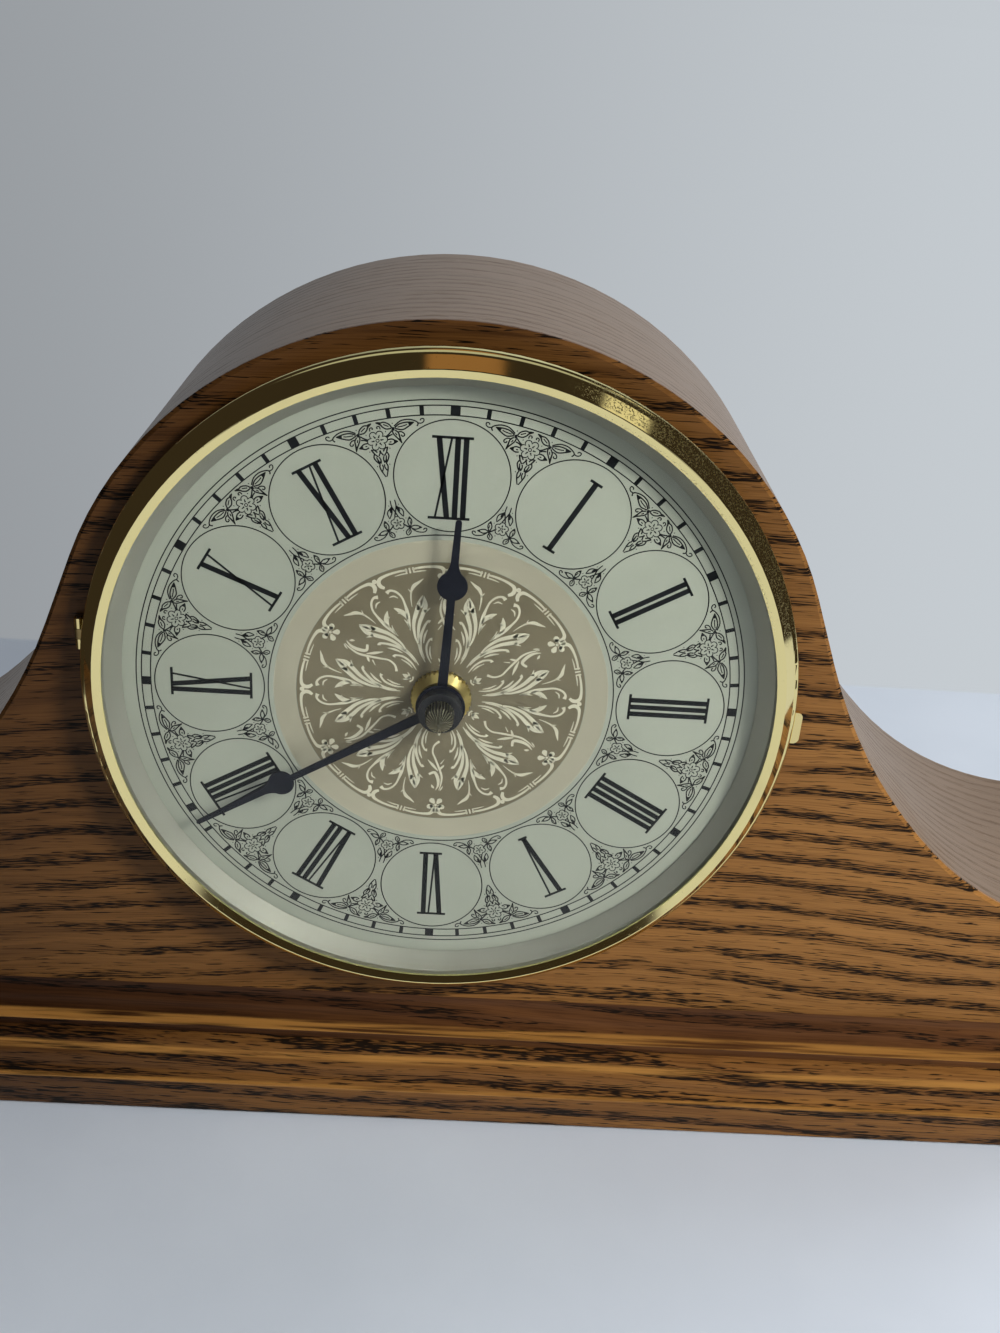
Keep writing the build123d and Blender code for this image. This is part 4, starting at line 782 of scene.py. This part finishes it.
def make_woods(group):
    """Stained oak of every board and moulding, and the pine of the glue blocks."""
    # Painted shade on the oak: darker toward the left, and toward the upper left
    shade_to_the_left = ((-1.0, 0.0, 0.0), -0.05, 0.12)
    shade_to_the_upper_left = ((-0.7, 0.0, 0.7), -0.02, 0.15)
    # The cove's oak is painted darker than the rest of the base, as painted shade; its top edge has a painted
    # highlight
    cove_light_in_shade, cove_dark_in_shade = (0.13, 0.053, 0.018, 1), (0.05, 0.019, 0.0075, 1)
    cove_lit_edge = (19.65, 0.3)
    oak_finish("oak_front", group, "XZY", 0.04, (-0.037, 0.0, 0.0), painted_shade=shade_to_the_upper_left,
               Light=(0.34, 0.157, 0.043, 1), Dark=(0.14, 0.058, 0.0135, 1), Arch=0.53,
               Ring_Width=0.0066, Wander=0.013, Pore_Start=0.62)
    oak_finish("oak_skin", group, "XYZ", 0.3, specular=0.35, Light=(0.2, 0.131, 0.081, 1),
               Dark=(0.15, 0.097, 0.06, 1), Gloss=0.42, Ring_Width=0.004, Depth_Scale=95.0,
               Wander=0.002, Pore_Depth=0.2, Pore_Start=0.66)
    oak_finish("oak_base", group, "XZY", 0.06, (0.3, 0.02, 0.01), ((9.3, 0.4), (15.6, 1.0)), shade_to_the_left,
               Light=(0.3, 0.135, 0.034, 1), Dark=(0.105, 0.041, 0.012, 1), Arch=0.05, Pore_Start=0.59,
               Depth_Scale=2400.0)
    oak_finish("oak_cove", group, "XZY", 0.08, (0.7, 0.05, 0.03), (cove_lit_edge,), shade_to_the_left,
               Light=cove_light_in_shade, Dark=cove_dark_in_shade, Arch=0.03, Pore_Start=0.7, Depth_Scale=2400.0)
    oak_finish("oak_cove_end", group, "YZX", 0.1, (0.4, 0.05, 0.03), (cove_lit_edge,),
               Light=cove_light_in_shade, Dark=cove_dark_in_shade)
    oak_finish("oak_rear", group, "XZY", 0.1, (0.06, 0.3, 0.2), Light=(0.24, 0.12, 0.042, 1),
               Dark=(0.12, 0.055, 0.018, 1), Arch=0.4, Gloss=0.42)
    oak_finish("oak_door", group, "XZY", 0.1, (0.9, 0.1, 0.5), Light=(0.27, 0.135, 0.048, 1),
               Dark=(0.14, 0.064, 0.02, 1), Arch=0.3, Gloss=0.42)
    oak_finish("pine", group, "XZY", Light=(0.6, 0.4, 0.18, 1), Dark=(0.42, 0.24, 0.09, 1),
               Pore=(0.25, 0.13, 0.05, 1), Gloss=0.55, Pore_Depth=0.4, Ring_Width=0.004)


def make_metals(group):
    """Brass, steel, zinc, and the metals with finishes of their own."""
    metal_finish("brass_polished", group, (0.95, 0.82, 0.4), (0.5, 0.4, 0.2), roughness=0.08, wear=0.2)
    metal_finish("brass_nut", group, (0.86, 0.7, 0.27), (0.5, 0.38, 0.14), roughness=0.3, wear=0.3, bump=0.3)
    metal_finish("brass_aged", group, (0.46, 0.35, 0.16), (0.25, 0.19, 0.09), roughness=0.3, wear=0.6)
    metal_finish("steel", group, (0.55, 0.55, 0.54), (0.3, 0.29, 0.28), roughness=0.25, wear=0.4)
    metal_finish("zinc_screw", group, (0.6, 0.58, 0.5), (0.35, 0.33, 0.28), roughness=0.32, wear=0.5)
    bezel_finish(group)
    cap_nut_finish(group)
    winding_finish(group)


def make_dial_paints(group):
    """Paint and print of the dial, its reflector and its hands."""
    plain_finish("reflector", group, (0.4, 0.4, 0.345), (0.37, 0.37, 0.32), roughness=0.45, mottle=25.0,
                 pebble=1500.0, bump=0.02, metallic=0.65)
    plain_finish("dial_face", group, (0.326, 0.338, 0.282), (0.307, 0.318, 0.265), roughness=0.36,
                 mottle=25.0, pebble=1500.0, bump=0.02, specular=0.3)
    plain_finish("dial_ink", group, (0.006, 0.007, 0.009), (0.01, 0.011, 0.013), roughness=0.45, mottle=200.0,
                 pebble=2000.0, specular=0.15)
    plain_finish("dial_band", group, (0.49, 0.455, 0.345), (0.42, 0.39, 0.295), roughness=0.3, mottle=20.0,
                 pebble=1800.0, bump=0.02, metallic=0.5)
    plain_finish("rosette_ground", group, (0.205, 0.174, 0.112), (0.177, 0.15, 0.096), roughness=0.34,
                 mottle=40.0, pebble=1500.0, bump=0.03, metallic=0.4)
    plain_finish("rosette_scrolls", group, (0.64, 0.6, 0.46), (0.58, 0.54, 0.41), roughness=0.34, mottle=60.0,
                 pebble=1500.0, bump=0.03, metallic=0.2)
    plain_finish("hand_enamel", group, (0.005, 0.006, 0.011), (0.009, 0.01, 0.017), roughness=0.34,
                 mottle=150.0, pebble=2400.0, bump=0.08, specular=0.2)


def make_plain_parts(group):
    """Felt, rubber, plastic, magnet, circuit board and the jacket of the cell."""
    plain_finish("felt", group, (0.02, 0.05, 0.03), (0.012, 0.03, 0.018), roughness=0.85, mottle=300.0,
                 pebble=2500.0, bump=0.6)
    plain_finish("rubber", group, (0.02, 0.02, 0.02), (0.03, 0.03, 0.03), roughness=0.7, mottle=200.0,
                 pebble=1200.0, bump=0.2)
    plain_finish("movement_plastic", group, (0.016, 0.016, 0.018), (0.024, 0.024, 0.026), roughness=0.42,
                 mottle=90.0, pebble=1100.0, bump=0.25)
    plain_finish("plate_plastic", group, (0.05, 0.05, 0.055), (0.07, 0.07, 0.075), roughness=0.45,
                 mottle=90.0, pebble=1100.0, bump=0.2)
    plain_finish("gear_plastic", group, (0.72, 0.72, 0.68), (0.64, 0.64, 0.6), roughness=0.4, mottle=120.0,
                 pebble=1200.0)
    plain_finish("magnet", group, (0.1, 0.1, 0.105), (0.14, 0.14, 0.145), roughness=0.35, mottle=200.0,
                 pebble=1800.0, bump=0.2, metallic=0.7)
    plain_finish("circuit", group, (0.02, 0.14, 0.05), (0.03, 0.2, 0.07), roughness=0.35, mottle=300.0)
    plain_finish("cell_jacket", group, (0.06, 0.13, 0.24), (0.08, 0.16, 0.28), roughness=0.25, bump=0.03)


def make_finishes():
    """Every finish of the clock."""
    oak, metal, grain = make_effects()
    make_woods(oak)
    make_metals(metal)
    make_dial_paints(grain)
    make_plain_parts(grain)
    glass_finish()


# Which finish each piece of the clock has

piece_finishes = {
    "oak_front": ("front_board",),
    "oak_skin": ("top_skin",),
    "oak_base": ("base_board",),
    "oak_cove": ("cove_front",),
    "oak_cove_end": ("cove_left", "cove_right"),
    "oak_rear": ("rear_board",),
    "oak_door": ("rear_door",),
    "pine": ("glue_blocks",),
    "felt": ("felt_pads",),
    "bezel_brass": ("bezel_ring",),
    "brass_polished": ("bezel_thumb_tab", "mounting_ring"),
    "brass_nut": ("mounting_nut",),
    "brass_aged": ("bezel_knuckle", "dial_screws", "rear_hinge_case_leaves", "rear_hinge_door_leaves",
                   "rear_hinge_case_screws", "rear_hinge_door_screws", "rear_door_knob", "turn_button",
                   "turn_button_screw", "threaded_bushing"),
    "steel": ("rear_hinge_pins", "bezel_hinge_pin", "mounting_washer", "minute_arbor", "clutch_washer",
              "stator", "coil_core", "quartz_crystal", "positive_contact", "negative_contact"),
    "zinc_screw": ("base_screws",),
    "reflector": ("reflector_ring",),
    "dial_face": ("dial_plate",),
    "hand_enamel": ("hour_hand", "minute_hand"),
    "cap_nut": ("hand_cap_nut",),
    "rubber": ("rubber_gasket",),
    "movement_plastic": ("movement_rear_case",),
    "plate_plastic": ("movement_front_case", "gear_bridge"),
    "gear_plastic": ("centre_wheel", "third_wheel", "seconds_wheel", "step_wheel", "minute_wheel",
                     "hour_wheel", "setting_knob", "coil_bobbin"),
    "magnet": ("rotor",),
    "circuit": ("circuit_board",),
    "cell_jacket": ("battery",),
    "copper_winding": ("coil_winding",),
    "dial_glass": ("bezel_glass",),
}


def dress_nodes():
    """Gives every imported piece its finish."""
    for finish, names in piece_finishes.items():
        for name in names:
            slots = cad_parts[name].data.materials
            slots.clear()
            slots.append(finishes[finish])


# Stage, light and camera


# Where the photograph was taken from: to the right of the clock's middle, in front of it and up, in metres
camera_right, camera_stand, camera_up = 0.00273, 0.28238, 0.24295

# How the camera turns to the left, dips and rolls, in degrees, and its lens in millimetres
camera_turn, camera_dip, camera_roll = -2.096, 26.665, 4.141
lens_length = 36.56

# Colours of the wall, darker at its left as painted shade and paler at its right, of the room in shade, and
# of the table and its image in metal
wall_left_shaded, wall_right_lit = (0.3, 0.318, 0.337, 1), (0.565, 0.605, 0.64, 1)
room_in_shade = (0.03, 0.022, 0.015, 1)
table_colours = (0.585, 0.637, 0.72, 1), (0.632, 0.684, 0.766, 1)
table_image = (0.61, 0.61, 0.61, 1)

# Edges of the table's image to the sides and in depth, how soft they are, and the foot of the wall, in metres
table_sides, side_softness = (-0.2, 0.62), 0.078
table_depth, depth_softness = (-0.5, 0.2), 0.1
wall_foot, foot_softness = 0.2, 0.003

# How far back a line of sight goes where it meets the wall's end, as a share of how far it goes to the side
wall_spread = 0.75

# What metal mirrors overhead: each patch has a direction, the cosines of its rim and core, and a colour
ceiling_colour = (0.44, 0.44, 0.41, 1)
window = ((0.63, -0.03, 0.776), 0.9925, 0.9975, (0.7, 0.64, 0.5, 1))
warm_glow = ((0.02, -0.1, 0.995), 0.985, 0.992, (0.25, 0.125, 0.055, 1))

# Even light from all round: colour and strength
even_light = {"Color": (0.92, 0.96, 1.0, 1), "Strength": 0.2}

# Lamps: place and size in metres, power in watts, colour
lamps = {
    "key": ((0.446, -0.432, 0.504), 0.14, 4.9, (1.0, 0.99, 0.96)),
    "rear": ((-0.6, 0.7, 0.6), 0.5, 1.3, (0.95, 0.98, 1.0)),
    "side": ((0.8, 0.45, 0.5), 0.4, 4.4, (0.95, 0.98, 1.0)),
}


def wall_colour(tree, across, back):
    """Colour of the wall by how far to the side the line of sight goes, darker to the left as painted shade.
    """
    return mix(tree, rise(tree, maths(tree, "DIVIDE", across, back), -0.5, 0.5), wall_left_shaded, wall_right_lit)


def behind(tree, across, back):
    """How far something lies toward the wall rather than to the sides."""
    return maths(tree, "SUBTRACT", back, times(tree, maths(tree, "ABSOLUTE", across), wall_spread))


def seen_directly(tree):
    """1 where the surface is looked at, straight or by way of metal or glass."""
    path = add(tree, "LightPath").outputs
    indirect = maths(tree, "MAXIMUM", path["Is Glossy Ray"], path["Is Transmission Ray"])
    return maths(tree, "MAXIMUM", path["Is Camera Ray"], indirect)


def mirrored(tree):
    """1 where the surface is seen in metal or in the face of the glass, and not through the glass."""
    path = add(tree, "LightPath").outputs
    return maths(tree, "MINIMUM", path["Is Glossy Ray"], path["Glossy Depth"])


def inside(tree, value, low, high, soft):
    """1 between two values, with a soft edge outside them."""
    return times(tree, rise(tree, value, low - soft, low), fall(tree, value, high, high + soft))


def pale_stage():
    """Pale table, with the wall's colour glowing on the floor beyond a line behind the clock. Seen in metal,
    the floor glows with a painted reflection: the table pale, and around it the room in painted shade.
    """
    tree, shader, place = new_finish("pale_table")
    across, back, _ = split(tree, place)
    mottle = rise(tree, noise(tree, place, 9.0, 4.0, 0.6), 0.3, 0.7)
    feed(tree, shader, {"Base Color": mix(tree, mottle, *table_colours), "Roughness": 0.6})
    # Painted reflection: in metal the table shows as a glowing pale image, and beyond its edges, sooner to
    # the left, as the room in painted shade
    table = times(tree, inside(tree, across, *table_sides, side_softness),
                  inside(tree, back, *table_depth, depth_softness))
    picture = add(tree, "Emission", {"Color": mix(tree, table, room_in_shade, table_image)})
    table_look = add(tree, "MixShader", {0: mirrored(tree), 1: shader, 2: picture})
    wall = add(tree, "Emission", {"Color": wall_colour(tree, across, maths(tree, "ADD", back, camera_stand))})
    beyond = times(tree, rise(tree, back, wall_foot, wall_foot + foot_softness),
                   rise(tree, behind(tree, across, back), -0.2, 0.0))
    looked_at = times(tree, beyond, seen_directly(tree))
    mixed = add(tree, "MixShader", {0: looked_at, 1: table_look, 2: wall})
    feed(tree, tree.nodes["Material Output"], {"Surface": mixed})
    reach = 40000.0
    corners = [(-reach, -reach, 0), (reach, -reach, 0), (reach, reach, 0), (-reach, reach, 0)]
    floor = mesh_piece("floor", corners, [(0, 1, 2, 3)], finishes["pale_table"], None)


def sky():
    """Even pale light and a pale wall. Metal mirrors the wall, one window, a warm glow and a dark ceiling."""
    world = bpy.data.worlds.new("studio")
    bpy.context.scene.world = world
    world.use_nodes = True
    tree = world.node_tree
    tree.nodes.clear()
    direction = add(tree, "TexCoord").outputs["Generated"]
    across, back, up = split(tree, direction)
    overhead = times(tree, fall(tree, back, -0.3, -0.16), rise(tree, up, 0.7, 0.8))
    picture = mix(tree, overhead, room_in_shade, ceiling_colour)
    for toward, rim, core, colour in (window, warm_glow):
        patch = rise(tree, vector_maths(tree, "DOT_PRODUCT", direction, toward), rim, core)
        picture = mix(tree, patch, picture, colour)
    wall = times(tree, rise(tree, behind(tree, across, back), 0.0, 0.2), fall(tree, up, 0.9, 0.97))
    picture = mix(tree, wall, picture, wall_colour(tree, across, back))
    pale = wall_colour(tree, across, 1.0)
    room = add(tree, "Background", {"Color": mix(tree, mirrored(tree), pale, picture)})
    even = add(tree, "Background", even_light)
    add(tree, "OutputWorld", {"Surface": add(tree, "MixShader", {0: seen_directly(tree), 1: even, 2: room})})


def lamp(name, place, size, power, colour):
    """Square soft lamp aimed at the dial, which metal doesn't mirror."""
    data = bpy.data.lights.new(name, "AREA")
    data.size = size
    data.energy = power
    data.color = colour
    light = bpy.data.objects.new(name, data)
    light.location = place
    aim = Vector((0.0, dial_front * MM, dial_height * MM)) - light.location
    light.rotation_mode = "QUATERNION"
    light.rotation_quaternion = aim.to_track_quat("-Z", "Y")
    light.visible_glossy = False
    bpy.context.scene.collection.objects.link(light)


def camera():
    """Camera at the photograph's place: above the dial, looking down and rolled a little."""
    data = bpy.data.cameras.new("camera")
    data.lens = lens_length
    data.clip_start, data.clip_end = 0.01, 200.0
    viewer = bpy.data.objects.new("camera", data)
    turn, tilt, roll = (math.radians(angle) for angle in (camera_turn, 90 - camera_dip, camera_roll))
    stand = Matrix.Translation((camera_right, -camera_stand, camera_up))
    aimed = stand @ Matrix.Rotation(turn, 4, "Z") @ Matrix.Rotation(tilt, 4, "X")
    viewer.matrix_world = aimed @ Matrix.Rotation(roll, 4, "Z")
    bpy.context.scene.collection.objects.link(viewer)
    bpy.context.scene.camera = viewer


camera()
make_finishes()
dress_nodes()
print_dial()
pale_stage()
sky()
for name, values in lamps.items():
    lamp(name, *values)
bpy.context.scene.view_settings.view_transform = "Standard"
